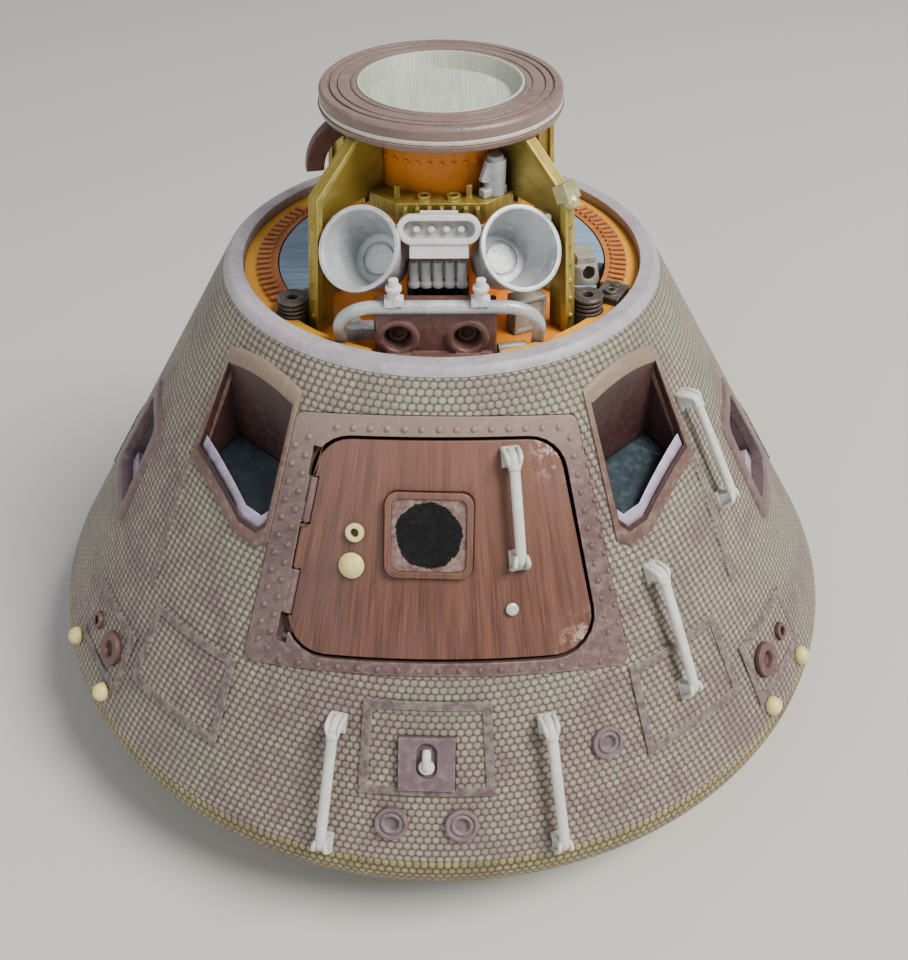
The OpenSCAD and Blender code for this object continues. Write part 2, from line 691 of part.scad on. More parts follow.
module knee_box() {
    color([0.8, 0.76, 0.5]) difference() {
        rotate([0, 0, 45]) translate([0, -26.8, shelf_z + 3.2]) {
            rotate([-30, 0, 0]) translate([-1.5, -1.5, -1.7]) cube([3, 2.6, 2.8]);
            translate([0, -1.4, -1.4]) sphere(1.3, $fn = 40);
        }
        gusset(45);
    }
}
module arch_fin() {
    color([0.33, 0.2, 0.19]) rotate([0, 0, -78]) rotate([90, 0, -90]) translate([0, 0, -1.1])
        linear_extrude(2.2) translate([tunnel_r + 0.2, shelf_z + 0.1]) difference() {
            intersection() {
                circle(9.3);
                square(20);
            }
            circle(6.3);
        }
}
module mortar_place(s) {
    translate([s * mort_x - 0.25, -24.1, deck_z + 17]) rotate([0, 0, s * mort_az])
        rotate([90 - mort_up, 0, 0]) children();
}
module mortar(s) {
    color([0.8, 0.82, 0.82]) mortar_place(s) difference() {
        union() {
            translate([0, 0, -9.5]) cylinder(h = 9.5, r1 = 4.9, r2 = mortar_r - 0.3);
            translate([0, 0, -0.9]) cylinder(h = 0.9, r = mortar_r);
            translate([0, 0, -10.6]) cylinder(h = 1.2, r = 3.6);
        }
        translate([0, 0, -8.3]) cylinder(h = 9.3, r1 = 4, r2 = mortar_r - 0.5);
        translate([0, 0, -8.6]) ring(2.5, 2.9, 1);
    }
}
module mortar_flange(s) {
    color([0.74, 0.76, 0.77]) mortar_place(s) difference() {
        translate([-5.2, -3.4, -6.2]) cube([10.4, 9, 0.9]);
        translate([0, 0, -9]) cylinder(h = 6, r = 6);
    }
}
module slot_body() {
    color([0.88, 0.88, 0.87]) {
        translate([-0.4, -21.2, deck_z + 18.9]) rotate([-22, 0, 0]) {
            difference() {
                union() {
                    for (s = [-1, 1]) translate([s * 4.2, 0, 0]) rotate([90, 0, 0])
                        cylinder(h = 3, r = 2.25);
                    translate([-4.2, -3, -2.25]) cube([8.4, 3, 4.5]);
                }
                for (s = [-1, 1]) translate([s * 4.2, -1.4, 0]) rotate([90, 0, 0])
                    cylinder(h = 3, r = 1.3);
                translate([-4.2, -4.4, -1.3]) cube([8.4, 3, 2.6]);
            }
            translate([-4.6, -2.7, -4.4]) cube([9.2, 2.6, 2.3]);
        }
        translate([-3.4, -21.4, shelf_z - 2.4]) cube([6, 3.1, 2]);
    }
}
module slot_buttons() {
    color([0.7, 0.71, 0.72]) translate([-0.4, -21.2, deck_z + 18.9]) rotate([-22, 0, 0])
        for (i = [-1.5:1:1.5]) translate([i * 2.3, -1.3, 0]) rotate([90, 0, 0])
            cylinder(h = 0.9, r = 0.55, $fn = 24);
}
module rib_block() {
    color([0.86, 0.86, 0.85]) translate([-0.6, -20.3, deck_z + 9.4]) {
        translate([-4.6, -1.6, 0.9]) cube([9.2, 2.4, 2.6]);
        for (i = [-2:2]) translate([i * 1.9, -1.7, 0]) {
            cylinder(h = 4.2, r = 0.8, $fn = 32);
            translate([0, 0, -0.3]) cylinder(h = 0.9, r = 1, $fn = 32);
        }
    }
}
module dark_block() {
    color([0.14, 0.19, 0.17]) translate([-0.6, -19.9, deck_z]) {
        translate([-5, -1.4, 0]) cube([10, 3.4, 8.9]);
        for (i = [-3:3]) translate([i * 1.4 - 0.35, -2, 0]) cube([0.7, 1, 8.6]);
    }
}
module loop_place() {
    translate([-0.4, loop_y, deck_z]) rotate([loop_lean, 0, 0]) children();
}
module loop_bar(r) {
    loop_place() translate([-loop_w + 6, 0, loop_h]) rotate([0, 90, 0])
        cylinder(h = 2 * (loop_w - 6), r = r, $fn = 48);
}
module loop() {
    bend = 6;
    color([0.82, 0.83, 0.83]) difference() {
        union() {
            loop_place() for (s = [-1, 1]) {
                translate([s * loop_w, 0, -1]) cylinder(h = loop_h - bend + 1, r = loop_r, $fn = 48);
                translate([s * (loop_w - bend), 0, loop_h - bend]) rotate([90, 0, 0])
                    rotate([0, 0, s > 0 ? 0 : 90]) rotate_extrude(angle = 90, $fn = 96)
                        translate([bend, 0]) circle(loop_r, $fn = 48);
            }
            loop_bar(loop_r);
        }
        translate([-30, loop_y - 5, deck_z - 4]) cube([60, 10, 4]);
    }
}
module loop_posts() {
    color([0.86, 0.86, 0.85]) difference() {
        loop_place() for (x = [-6.9, 6.3]) translate([x, 0, loop_h + loop_r - 0.2])
            rotate([-loop_lean, 0, 0]) {
                translate([0, 0, -0.2]) box(2.9, 1.8, 1.4);
                cylinder(h = 2.6, r = 0.95, $fn = 32);
                translate([0, 0, 2.4]) cylinder(h = 0.7, r = 1.25, $fn = 32);
                translate([0, 0, 3]) cylinder(h = 1.3, r = 0.75, $fn = 32);
            }
        loop_bar(loop_r);
    }
}
module nozzle_body() {
    color([0.36, 0.25, 0.24]) translate([nozzle_x, nozzle_y, deck_z]) difference() {
        union() {
            translate([-nozzle_w / 2, -3, 0]) cube([nozzle_w, 5.4, 9.4]);
            translate([-nozzle_w / 2 + 0.6, -5, 0]) cube([nozzle_w - 1.2, 3, 2.2]);
            for (x = [-5.9, 5]) translate([x, -2, 5]) rotate([90, 0, 0]) cylinder(h = 1.6, r = 3.3);
        }
        for (x = [-5.9, 5]) translate([x, -1.2, 5]) rotate([90, 0, 0])
            cylinder(h = 4, r1 = 1.9, r2 = 2.5);
    }
}
module nozzle_sleeves() {
    color([0.5, 0.46, 0.42]) translate([nozzle_x, nozzle_y, deck_z]) for (x = [-5.9, 5])
        translate([x, -1.15, 5]) rotate([90, 0, 0]) ring(0.9, 1.75, 0.7);
}
module spool(p) {
    color([0.36, 0.33, 0.3]) translate([p[0], p[1], deck_z]) difference() {
        union() {
            cylinder(h = 3, r = 2.7);
            cylinder(h = 5.4, r = 2.1);
            for (z = [3.3, 4.1, 4.9]) translate([0, 0, z]) cylinder(h = 0.45, r = 2.6);
        }
        translate([0, 0, 3.8]) cylinder(h = 3, r = 0.9);
    }
}
module spool_plate() {
    color([0.45, 0.41, 0.38]) rotate([0, 0, 62]) translate([0, -bay_r + 6, deck_z + bay_ring_h]) {
        translate([-2.2, -1.9, 0]) cube([5.6, 4.2, 1.3]);
        translate([-0.4, 0, 1.2]) ring(0.5, 1.1, 0.8);
        translate([2, 0, 1.2]) cylinder(h = 0.7, r = 0.8, $fn = 32);
    }
}
module pump_housing() {
    color([0.6, 0.59, 0.52]) translate([24.6, -7.5, deck_z]) rotate([0, 0, 12]) difference() {
        union() {
            cylinder(h = 5.2, r1 = 3.4, r2 = 2.3);
            translate([-1.5, -1, 0]) cube([3.4, 4.6, 6.6]);
        }
        translate([0.3, 0, 3.2]) rotate([65, 0, 0]) cylinder(h = 6, r = 1.15);
    }
}
module bay_box() {
    color([0.66, 0.66, 0.62]) translate([14, -20.2, deck_z]) rotate([0, 0, 24]) difference() {
        translate([-2.9, -1.5, 0]) cube([5.8, 3.2, 6.4]);
        translate([-2.2, -1.9, 0.8]) cube([4.4, 0.7, 4.8]);
    }
}
module rod() {
    color([0.84, 0.83, 0.8]) translate([8.9, -28.8, deck_z + 1.65]) rotate([0, 90, 12])
        cylinder(h = 4.6, r = 0.75, $fn = 32);
}
module fittings() {
    color([0.76, 0.76, 0.74]) translate([-14.2, -22.6, deck_z]) {
        cylinder(h = 2.4, r = 1.6, $fn = 40);
        translate([0, 0, 2.3]) cylinder(h = 1.2, r = 0.9, $fn = 40);
        translate([1.2, -1.2, 0]) cube([2.2, 2.6, 2.2]);
        translate([-2.8, 1, 0.9]) rotate([0, 90, 25]) cylinder(h = 3, r = 0.7, $fn = 32);
    }
}
module valve() {
    color([0.8, 0.81, 0.8]) rotate([0, 0, 33]) translate([0, -15.5, shelf_z]) {
        translate([-2.8, -1.2, 0]) cube([4.4, 1.6, 1.3]);
        cylinder(h = 5.6, r = 1.75, $fn = 48);
        translate([0, 0, 5.5]) cylinder(h = 0.9, r = 1.3, $fn = 48);
        translate([-3.1, -0.9, 2.8]) rotate([0, 20, 0]) cube([1.6, 1, 3.2]);
        translate([-2.6, -0.7, 3.6]) cube([2, 0.8, 0.9]);
    }
}
module bay_canisters() {
    color([0.5, 0.5, 0.48]) for (a = [150, 180, 210]) rotate([0, 0, a])
        translate([0, -22.6, deck_z]) {
            cylinder(h = 11, r = 4.1);
            translate([0, 0, 10.9]) cylinder(h = 1.4, r1 = 3.6, r2 = 2.4);
        }
}

module nose_recess_left() {
    recess(-1);
}
module nose_recess_right() {
    recess(1);
}
module nose_sills() {
    for (s = [-1, 1]) {
        sill(s);
        side_sill(s);
    }
}
module window_panes() {
    for (s = [-1, 1]) {
        pane(s);
        side_glass(s);
    }
}
module side_frames() {
    for (s = [-1, 1]) side_tub(s);
}
module vent_boss() {
    boss_block();
    boss_spout();
}
module thruster_panels() {
    for (s = [-1, 1]) jet_panel(s);
}
module thruster_cups() {
    for (s = [-1, 1]) jet_cup(s);
}
module skin_rails() {
    skin_rail(-14.45, 33.35, 20.8, 0);
    skin_rail(14.1, 33.25, 20.6, 0);
    skin_rail(36, 48.5, 21.6, 0);
    skin_rail(58.3, 67.65, 19.8, -3);
}
module couches() {
    color([0.62, 0.6, 0.52]) for (x = [-16, 0, 16]) couch(x);
}
module blue_panels() {
    for (s = [-1, 1]) blue_panel(s);
}
module shelf() {
    shelf_plate();
    shelf_pins();
}
module gussets() {
    for (a = [-45, 45, 135, 225]) gusset(a);
}
module mortar_left() {
    mortar(-1);
}
module mortar_right() {
    mortar(1);
}
module mortar_flanges() {
    for (s = [-1, 1]) mortar_flange(s);
}
module slot_box() {
    slot_body();
    slot_buttons();
}
module nozzle_block() {
    nozzle_body();
    nozzle_sleeves();
}
module spools() {
    spool(spool_left);
    spool(spool_right);
}
module bay_fittings() {
    fittings();
    rod();
}
module hatch_knobs() {
    knobs();
    plug();
}

aft_dish();
base_screws();
cabin_floor();
cone_shell();
hatch_frame();
frame_rivets();
hinge_pin();
hatch_panel();
hatch_window_frame();
hatch_pane();
hatch_liner();
hatch_latch();
hatch_handrail();
hatch_knobs();
nose_recess_left();
nose_recess_right();
nose_sills();
window_panes();
side_frames();
skin_panels();
under_panel();
vent_boss();
vent_ports();
thruster_panels();
thruster_cups();
antenna_domes();
skin_rails();
umbilical_cover();
couches();
instrument_panel();
deck_rim();
deck_floor();
bay_ring();
bay_fins();
blue_panels();
tunnel();
docking_ring();
ring_seal();
tunnel_cover();
shelf();
gussets();
knee_box();
arch_fin();
mortar_left();
mortar_right();
mortar_flanges();
slot_box();
rib_block();
dark_block();
loop();
loop_posts();
nozzle_block();
spools();
spool_plate();
pump_housing();
bay_box();
bay_fittings();
valve();
bay_canisters();
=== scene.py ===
# %% [markdown]
# # Display model of a conical crew capsule: its looks
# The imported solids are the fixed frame. Every solid gets a softened copy here, with painted and
# weathered procedural materials, and a few pieces are modelled again in finer detail.
# Lengths are in metres. Z is up and the hatch faces -Y.

# %% Load the frame
import json
import math

import bmesh
import bpy
from mathutils import Matrix, Vector


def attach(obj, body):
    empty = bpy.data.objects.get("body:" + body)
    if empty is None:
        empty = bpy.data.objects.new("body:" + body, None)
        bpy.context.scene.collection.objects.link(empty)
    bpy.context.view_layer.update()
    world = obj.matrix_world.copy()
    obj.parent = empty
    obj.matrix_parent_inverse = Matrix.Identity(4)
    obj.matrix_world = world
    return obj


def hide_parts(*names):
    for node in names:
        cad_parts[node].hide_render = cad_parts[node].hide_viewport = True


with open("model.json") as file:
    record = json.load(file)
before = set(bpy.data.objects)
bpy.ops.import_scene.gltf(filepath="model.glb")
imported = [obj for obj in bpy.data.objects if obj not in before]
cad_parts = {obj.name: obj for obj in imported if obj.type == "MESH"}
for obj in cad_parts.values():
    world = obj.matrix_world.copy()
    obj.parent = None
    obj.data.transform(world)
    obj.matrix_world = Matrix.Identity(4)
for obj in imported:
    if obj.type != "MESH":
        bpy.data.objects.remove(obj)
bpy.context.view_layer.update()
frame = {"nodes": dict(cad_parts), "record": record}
print("solids in the frame:", len(frame["nodes"]))

# %% [markdown]
# ## The cone in numbers
# The skin is a plain cone, so any place on it is an azimuth (0 at the hatch, + to the right of
# someone facing it) and a height. These helpers turn such a place into a point and three directions.

# %% Places on the cone
MM = 0.001
CONE = math.radians(30.9)
BAY_R = 38.4
BAY_Z = 91.775
FOOT_R = 76.05
CREASE_Z = 22.78
HATCH_AZ = -0.6
HATCH_MID, HATCH_LOW, HATCH_HIGH, HATCH_HALF = 65.6, 50.2, 81.0, 24.3
WINDOW_AZ, WINDOW_Z = HATCH_AZ - 1.8, 70.0


def skin_radius(z):
    return BAY_R + (BAY_Z - z) * math.tan(CONE)


def place(azimuth, z, lift=0.0, turn=0.0):
    """A frame on the skin, in millimetres: x to the right, y up the slope, z out of the skin."""
    a = math.radians(azimuth)
    out = Vector((math.sin(a), -math.cos(a), 0))
    east = Vector((math.cos(a), math.sin(a), 0))
    up = Vector((0, 0, 1)) * math.cos(CONE) - out * math.sin(CONE)
    normal = out * math.cos(CONE) + Vector((0, 0, 1)) * math.sin(CONE)
    spot = out * skin_radius(z) + Vector((0, 0, z)) + normal * lift
    m = Matrix((east, up, normal)).transposed().to_4x4()
    m.translation = spot
    return m @ Matrix.Rotation(math.radians(turn), 4, "Z")


def rgb(r, g, b):
    """A colour named by its screen values, turned into light values."""
    light = [c / 255 / 12.92 if c < 10.3 else ((c / 255 + 0.055) / 1.055) ** 2.4 for c in (r, g, b)]
    return (*light, 1.0)


print("skin radius at the hatch's middle:", round(skin_radius(HATCH_MID), 2), "mm")

# %% [markdown]
# ## A small kit for node trees
# `Net` adds nodes and links them. Any input takes either a socket or a plain value.

# %% Node kit
class Net:
    def __init__(self, tree):
        self.tree = tree

    def put(self, socket, value):
        if isinstance(value, bpy.types.NodeSocket):
            self.tree.links.new(value, socket)
        else:
            socket.default_value = value

    def add(self, kind, values=None, **props):
        node = self.tree.nodes.new(kind)
        for key, value in props.items():
            setattr(node, key, value)
        for key, value in (values or {}).items():
            self.put(node.inputs[key], value)
        return node

    def math(self, op, a, b=0.0, clamp=False):
        return self.add("ShaderNodeMath", {0: a, 1: b}, operation=op, use_clamp=clamp).outputs[0]

    def span(self, x, lo, hi, a=0.0, b=1.0):
        values = {"Value": x, "From Min": lo, "From Max": hi, "To Min": a, "To Max": b}
        return self.add("ShaderNodeMapRange", values, interpolation_type="SMOOTHSTEP").outputs[0]

    def mix(self, f, a, b, blend="MIX"):
        node = self.add("ShaderNodeMix", {0: f}, data_type="RGBA", blend_type=blend)
        self.put(node.inputs[6], a)
        self.put(node.inputs[7], b)
        return node.outputs[2]

    def noise(self, vector, scale, detail=3.0, rough=0.55, distortion=0.0):
        values = {"Vector": vector, "Scale": scale, "Detail": detail, "Roughness": rough,
                  "Distortion": distortion}
        return self.add("ShaderNodeTexNoise", values).outputs[0]

    def scaled(self, value, factor):
        return self.math("MULTIPLY", value, factor)

    def length(self, x, y):
        squares = self.math("MULTIPLY", x, x), self.math("MULTIPLY", y, y)
        return self.math("SQRT", self.math("ADD", *squares))

    def xyz(self, x, y, z=0.0):
        return self.add("ShaderNodeCombineXYZ", {0: x, 1: y, 2: z}).outputs[0]

    def use(self, group, **values):
        node = self.tree.nodes.new("ShaderNodeGroup")
        node.node_tree = group
        for key, value in values.items():
            self.put(node.inputs[key], value)
        return node.outputs


def new_group(name, ins, outs):
    tree = bpy.data.node_groups.new(name, "ShaderNodeTree")
    for label, kind, value in ins:
        socket = tree.interface.new_socket(label, in_out="INPUT", socket_type="NodeSocket" + kind)
        socket.default_value = value
    for label, kind in outs:
        tree.interface.new_socket(label, in_out="OUTPUT", socket_type="NodeSocket" + kind)
    net = Net(tree)
    return tree, net, net.add("NodeGroupInput").outputs, net.add("NodeGroupOutput").inputs


print("node kit ready")

# %% [markdown]
# ## Shared coordinates
# Patterns are laid out on the body: azimuth, radius, height, and the height above the plain cone
# (`Lift`), which tells a raised border from the quilted field inside it.

# %% Coordinates group
coords, net, _, out = new_group("body_coordinates", [], [
    ("Point", "Vector"), ("Azimuth", "Float"), ("Radius", "Float"), ("Height", "Float"),
    ("Lift", "Float")])
metres = net.add("ShaderNodeTexCoord").outputs["Object"]
point = net.add("ShaderNodeVectorMath", {0: metres, "Scale": 1000.0}, operation="SCALE").outputs[0]
axes = net.add("ShaderNodeSeparateXYZ", {0: point}).outputs
radius = net.length(axes[0], axes[1])
ideal = net.math("ADD", net.math("MULTIPLY", net.math("SUBTRACT", BAY_Z, axes[2]), math.tan(CONE)), BAY_R)
net.put(out["Point"], point)
net.put(out["Azimuth"], net.math("ARCTAN2", axes[0], net.math("MULTIPLY", axes[1], -1.0)))
net.put(out["Radius"], radius)
net.put(out["Height"], axes[2])
net.put(out["Lift"], net.math("MULTIPLY", net.math("SUBTRACT", radius, ideal), math.cos(CONE)))
print("group:", coords.name)

# %% [markdown]
# ## The quilted skin
# Rows of small round scales run round the cone, packed like honeycomb. Each row holds a whole
# number of scales, found from its own radius, so the pitch stays the same from rim to shoulder.

# %% Quilt group
quilt, net, i, out = new_group("quilt", [
    ("Azimuth", "Float", 0.0), ("Along", "Float", 0.0), ("Start radius", "Float", 76.0),
    ("Shrink", "Float", 0.5), ("Pitch", "Float", 1.4)], [
    ("Dome", "Float"), ("Groove", "Float"), ("Tile", "Float")])
row_h = net.math("MULTIPLY", i["Pitch"], 0.866)
along = net.math("DIVIDE", i["Along"], row_h)
row = net.math("FLOOR", along)
across_row = net.math("SUBTRACT", net.math("SUBTRACT", along, row), 0.5)
middle = net.math("MULTIPLY", net.math("MULTIPLY", net.math("ADD", row, 0.5), row_h), i["Shrink"])
row_r = net.math("SUBTRACT", i["Start radius"], middle)
count = net.math("ROUND", net.math("DIVIDE", net.math("MULTIPLY", row_r, math.tau), i["Pitch"]))
turns = net.math("DIVIDE", net.math("MULTIPLY", i["Azimuth"], count), math.tau)
column = net.math("ADD", turns, net.math("MULTIPLY", net.math("FLOORED_MODULO", row, 2.0), 0.5))
across = net.math("SUBTRACT", net.math("FRACT", column), 0.5)
up = net.math("MULTIPLY", across_row, 0.9)
away = net.length(across, up)
ratio = net.math("DIVIDE", away, 0.56)
round_top = net.math("SUBTRACT", 1.0, net.math("MULTIPLY", ratio, ratio))
net.put(out["Dome"], net.math("SQRT", net.math("MAXIMUM", round_top, 0.0)))
net.put(out["Groove"], net.span(away, 0.30, 0.52))
net.put(out["Tile"], net.add("ShaderNodeTexWhiteNoise", {
    "Vector": net.xyz(net.math("FLOOR", column), row)}, noise_dimensions="2D").outputs["Value"])
print("group:", quilt.name)

# %% [markdown]
# ## Wear, painted shade and painted highlight
# One group gives every paint its age and some painted light: lighter edges that are partly rubbed paint
# and partly painted highlight, painted shade in the corners, fine grain, broad patches, mottling and
# small specks. All outputs are plain masks.

# %% Wear group
wear_and_painted_light, net, i, out = new_group("wear_and_painted_light", [("Point", "Vector", (0, 0, 0)), ("Size", "Float", 1.0)], [
    ("Edge", "Float"), ("Corner shade", "Float"), ("Grain", "Float"), ("Patch", "Float"), ("Mottle", "Float"),
    ("Speck", "Float")])
spot = net.add("ShaderNodeVectorMath", {0: i["Point"], "Scale": i["Size"]}, operation="SCALE").outputs[0]
soft = net.add("ShaderNodeBevel", {"Radius": 0.00045}, samples=4).outputs[0]
flat = net.add("ShaderNodeNewGeometry").outputs["Normal"]
agree = net.add("ShaderNodeVectorMath", {0: soft, 1: flat}, operation="DOT_PRODUCT").outputs["Value"]
corner = net.add("ShaderNodeAmbientOcclusion", {"Distance": 0.0035}, samples=6).outputs["AO"]
patch = net.noise(spot, 0.11, 4.0, 0.6, 0.4)
mottle = net.noise(spot, 0.75, 5.0, 0.62)
grain = net.noise(spot, 7.0, 3.0, 0.6)
# Lighter edges: partly rubbed paint and partly a painted highlight along the rounded edges.
edge = net.span(net.math("SUBTRACT", 1.0, agree), 0.015, 0.2)
net.put(out["Edge"], net.math("MULTIPLY", edge, net.span(mottle, 0.36, 0.6, 0.15, 1.0)))
# The corner mask is painted shade: occlusion in corners and recesses, made patchy by the mottle.
uneven = net.span(mottle, 0.2, 0.65, 0.6, 1.0)
net.put(out["Corner shade"], net.math("MULTIPLY", net.span(corner, 0.9, 0.25), uneven))
net.put(out["Grain"], grain)
net.put(out["Patch"], patch)
net.put(out["Mottle"], mottle)
net.put(out["Speck"], net.span(net.noise(spot, 3.2, 2.0, 0.5), 0.68, 0.74))
print("group:", wear_and_painted_light.name)

# %% [markdown]
# ## Brush marks
# Long thin noise, for paint that was drawn out with a brush. `Across` and `Along` are lengths
# on the surface, so the same group serves straight and round strokes.

# %% Brush group
brush, net, i, out = new_group("brush", [
    ("Across", "Float", 0.0), ("Along", "Float", 0.0), ("Fine", "Float", 1.0)], [
    ("Streak", "Float"), ("Hair", "Float")])
wide = net.xyz(net.scaled(i["Across"], 0.55), net.scaled(i["Along"], 0.035), 3.0)
thin = net.xyz(net.scaled(net.scaled(i["Across"], i["Fine"]), 3.6), net.scaled(i["Along"], 0.11), 8.0)
net.put(out["Streak"], net.noise(wide, 1.0, 4.0, 0.65))
net.put(out["Hair"], net.noise(thin, 1.0, 3.0, 0.6))
print("group:", brush.name)

# %% [markdown]
# ## Material kit
# `Paint` opens a material with its Principled shader and the shared groups already wired.

# %% Material kit
class Paint(Net):
    def __init__(self, name, size=1.0, seed=0.0):
        self.mat = bpy.data.materials.new(name)
        self.mat.use_nodes = True
        super().__init__(self.mat.node_tree)
        self.bsdf = self.tree.nodes["Principled BSDF"]
        self.at = self.use(coords)
        shift = (seed * 17.3, seed * 5.1, seed * 9.7)
        shifted = self.add("ShaderNodeVectorMath", {0: self.at["Point"], 1: shift}, operation="ADD")
        self.w = self.use(wear_and_painted_light, Point=shifted.outputs[0], Size=size)

    def done(self, color, rough, height=None, depth=0.0001, metal=0.0, **constants):
        self.put(self.bsdf.inputs["Base Color"], color)
        self.put(self.bsdf.inputs["Roughness"], rough)
        self.put(self.bsdf.inputs["Metallic"], metal)
        for label, value in constants.items():
            self.bsdf.inputs[label.replace("_", " ")].default_value = value
        if height is not None:
            bump = self.add("ShaderNodeBump", {"Height": height, "Distance": depth, "Strength": 1.0})
            self.put(self.bsdf.inputs["Normal"], bump.outputs[0])
        return self.mat


def worn_lit_and_shaded_paint(name, base, dark, light, seed=1.0, rough=0.55, edge=0.7, metal=0.0, mottled=0.55,
               pale=None):
    """Brushed-on model paint: patches, painted shade in the corners, lighter edges that are partly rubbed
    paint and partly painted highlight, and a painted highlight that makes the top paler.
    """
    p = Paint(name, 1.0, seed)
    tone = p.mix(p.span(p.w["Patch"], 0.35, 0.68, 0.0, mottled), base, p.mix(0.5, base, dark))
    tone = p.mix(p.span(p.w["Mottle"], 0.45, 0.72, 0.0, mottled), tone, p.mix(0.45, base, light))
    # The optional pale top is a painted highlight from above.
    if pale:
        tone = p.mix(p.span(p.at["Height"], *pale), tone, light)
    # Painted shade in corners and recesses, in the dark colour.
    tone = p.mix(p.scaled(p.w["Corner shade"], 0.8), tone, dark)
    tone = p.mix(p.scaled(p.w["Speck"], 0.45), tone, dark)
    # Lighter edges, partly rubbed paint and partly painted highlight.
    tone = p.mix(p.math("MULTIPLY", p.w["Edge"], edge), tone, light)
    tone = p.mix(p.span(p.w["Grain"], 0.3, 0.75, 0.0, 0.14), tone, light, "OVERLAY")
    relief = p.math("ADD", p.math("MULTIPLY", p.w["Grain"], 0.35), p.w["Mottle"])
    dull = p.math("ADD", p.w["Mottle"], p.scaled(p.w["Corner shade"], 0.4))
    return p.done(tone, p.span(dull, 0.3, 0.9, rough - 0.1, rough + 0.2), relief, 0.00009, metal)


print("material kit ready")

# %% [markdown]
# ## The quilted paints
# The scales are dark brown-mauve in the grooves and grey tan in the body, with a painted highlight of
# pale green cream on their tops. Mauve stains come in patches, the skin turns more mauve towards the
# bottom, and painted shade darkens it beside raised parts.

# %% Skin and dish materials
def quilt_paint(name, along_of, start, shrink, pitch, groove, body, stain_and_shade, moss, top, border, seed):
    p = Paint(name, 1.0, seed)
    q = p.use(quilt, **{"Azimuth": p.at["Azimuth"], "Along": along_of(p), "Start radius": start,
                        "Shrink": shrink, "Pitch": pitch})
    tone = p.mix(p.span(p.w["Patch"], 0.38, 0.62), body, stain_and_shade)
    tone = p.mix(p.span(p.noise(p.at["Point"], 0.05, 3.0, 0.6), 0.42, 0.66, 0.0, 0.75), tone, moss)
    # The skin turns more mauve towards the bottom.
    low = p.span(p.at["Height"], 62.0, 24.0, 0.0, 0.45)
    tone = p.mix(p.math("MULTIPLY", low, p.span(p.w["Mottle"], 0.3, 0.6, 0.5, 1.0)), tone, stain_and_shade)
    # Painted shade in corners and beside raised parts, in the stain colour.
    tone = p.mix(p.scaled(p.w["Corner shade"], 0.75), tone, stain_and_shade)
    tone = p.mix(p.span(p.at["Height"], 66.0, 92.0, 0.0, 0.3), tone, p.mix(0.5, moss, top))
    # Painted highlight on the top of each scale, varied from scale to scale.
    highlit_tops = p.math("MULTIPLY", p.span(q["Dome"], 0.6, 0.98), p.span(p.w["Mottle"], 0.3, 0.62, 0.25, 0.8))
    highlit_tops = p.math("MULTIPLY", highlit_tops, p.span(q["Tile"], 0.0, 1.0, 0.55, 0.95))
    tone = p.mix(highlit_tops, tone, p.mix(p.span(p.w["Patch"], 0.45, 0.66, 0.0, 0.55), top, stain_and_shade))
    # Darker colour in the grooves between the scales.
    dark_grooves = p.math("MULTIPLY", q["Groove"], p.span(p.w["Mottle"], 0.25, 0.6, 0.35, 0.7))
    tone = p.mix(dark_grooves, tone, groove)
    edge_tone = p.mix(p.span(p.w["Mottle"], 0.35, 0.65), border, p.mix(0.3, border, top))
    # Lighter edges on the raised borders, partly rubbed paint and partly painted highlight.
    edge_tone = p.mix(p.math("MULTIPLY", p.w["Edge"], 0.45), edge_tone, top)
    raised = p.span(p.at["Lift"], 0.2, 0.32)
    tone = p.mix(raised, tone, edge_tone)
    field = p.math("SUBTRACT", 1.0, raised)
    height = p.math("ADD", p.math("MULTIPLY", q["Dome"], field), p.scaled(p.w["Grain"], 0.12))
    rubbed = p.math("ADD", p.scaled(q["Dome"], 0.35), p.w["Mottle"])
    shine = p.span(rubbed, 0.3, 1.0, 0.66, 0.42)
    return p.done(tone, shine, height, 0.0003)


def up_the_cone(p):
    return p.math("DIVIDE", p.math("SUBTRACT", p.at["Height"], CREASE_Z), math.cos(CONE))


def round_the_dish(p):
    return p.math("DIVIDE", p.math("ADD", p.at["Height"], p.at["Radius"]), 1.2)


MATS = {}
SKIN_PITCH, DISH_PITCH = 1.34, 1.25
skin_quilt = (up_the_cone, FOOT_R + 3.5, math.sin(CONE), SKIN_PITCH)
skin_colours = (rgb(88, 74, 68), rgb(136, 122, 107), rgb(118, 97, 99), rgb(128, 132, 110),
                rgb(182, 180, 156), rgb(94, 76, 82))
dish_quilt = (round_the_dish, 77.0, 0.0, DISH_PITCH)
dish_colours = (rgb(70, 60, 38), rgb(142, 127, 82), rgb(112, 96, 70), rgb(128, 122, 78),
                rgb(190, 180, 128), rgb(120, 105, 75))
MATS["skin"] = quilt_paint("skin_paint", *skin_quilt, *skin_colours, 1.0)
MATS["panel"] = quilt_paint("panel_paint", *skin_quilt, *skin_colours, 2.0)
MATS["dish"] = quilt_paint("dish_paint", *dish_quilt, *dish_colours, 3.0)
print("quilted paints:", sorted(MATS))

# %% [markdown]
# ## The hatch paint
# Brown copper, brushed up and down the slope, with painted shade round the border, a painted highlight
# that makes it paler towards the top, lighter edges that are partly rubbed paint and partly painted
# highlight, and paint chipped away near the two right-hand corners.

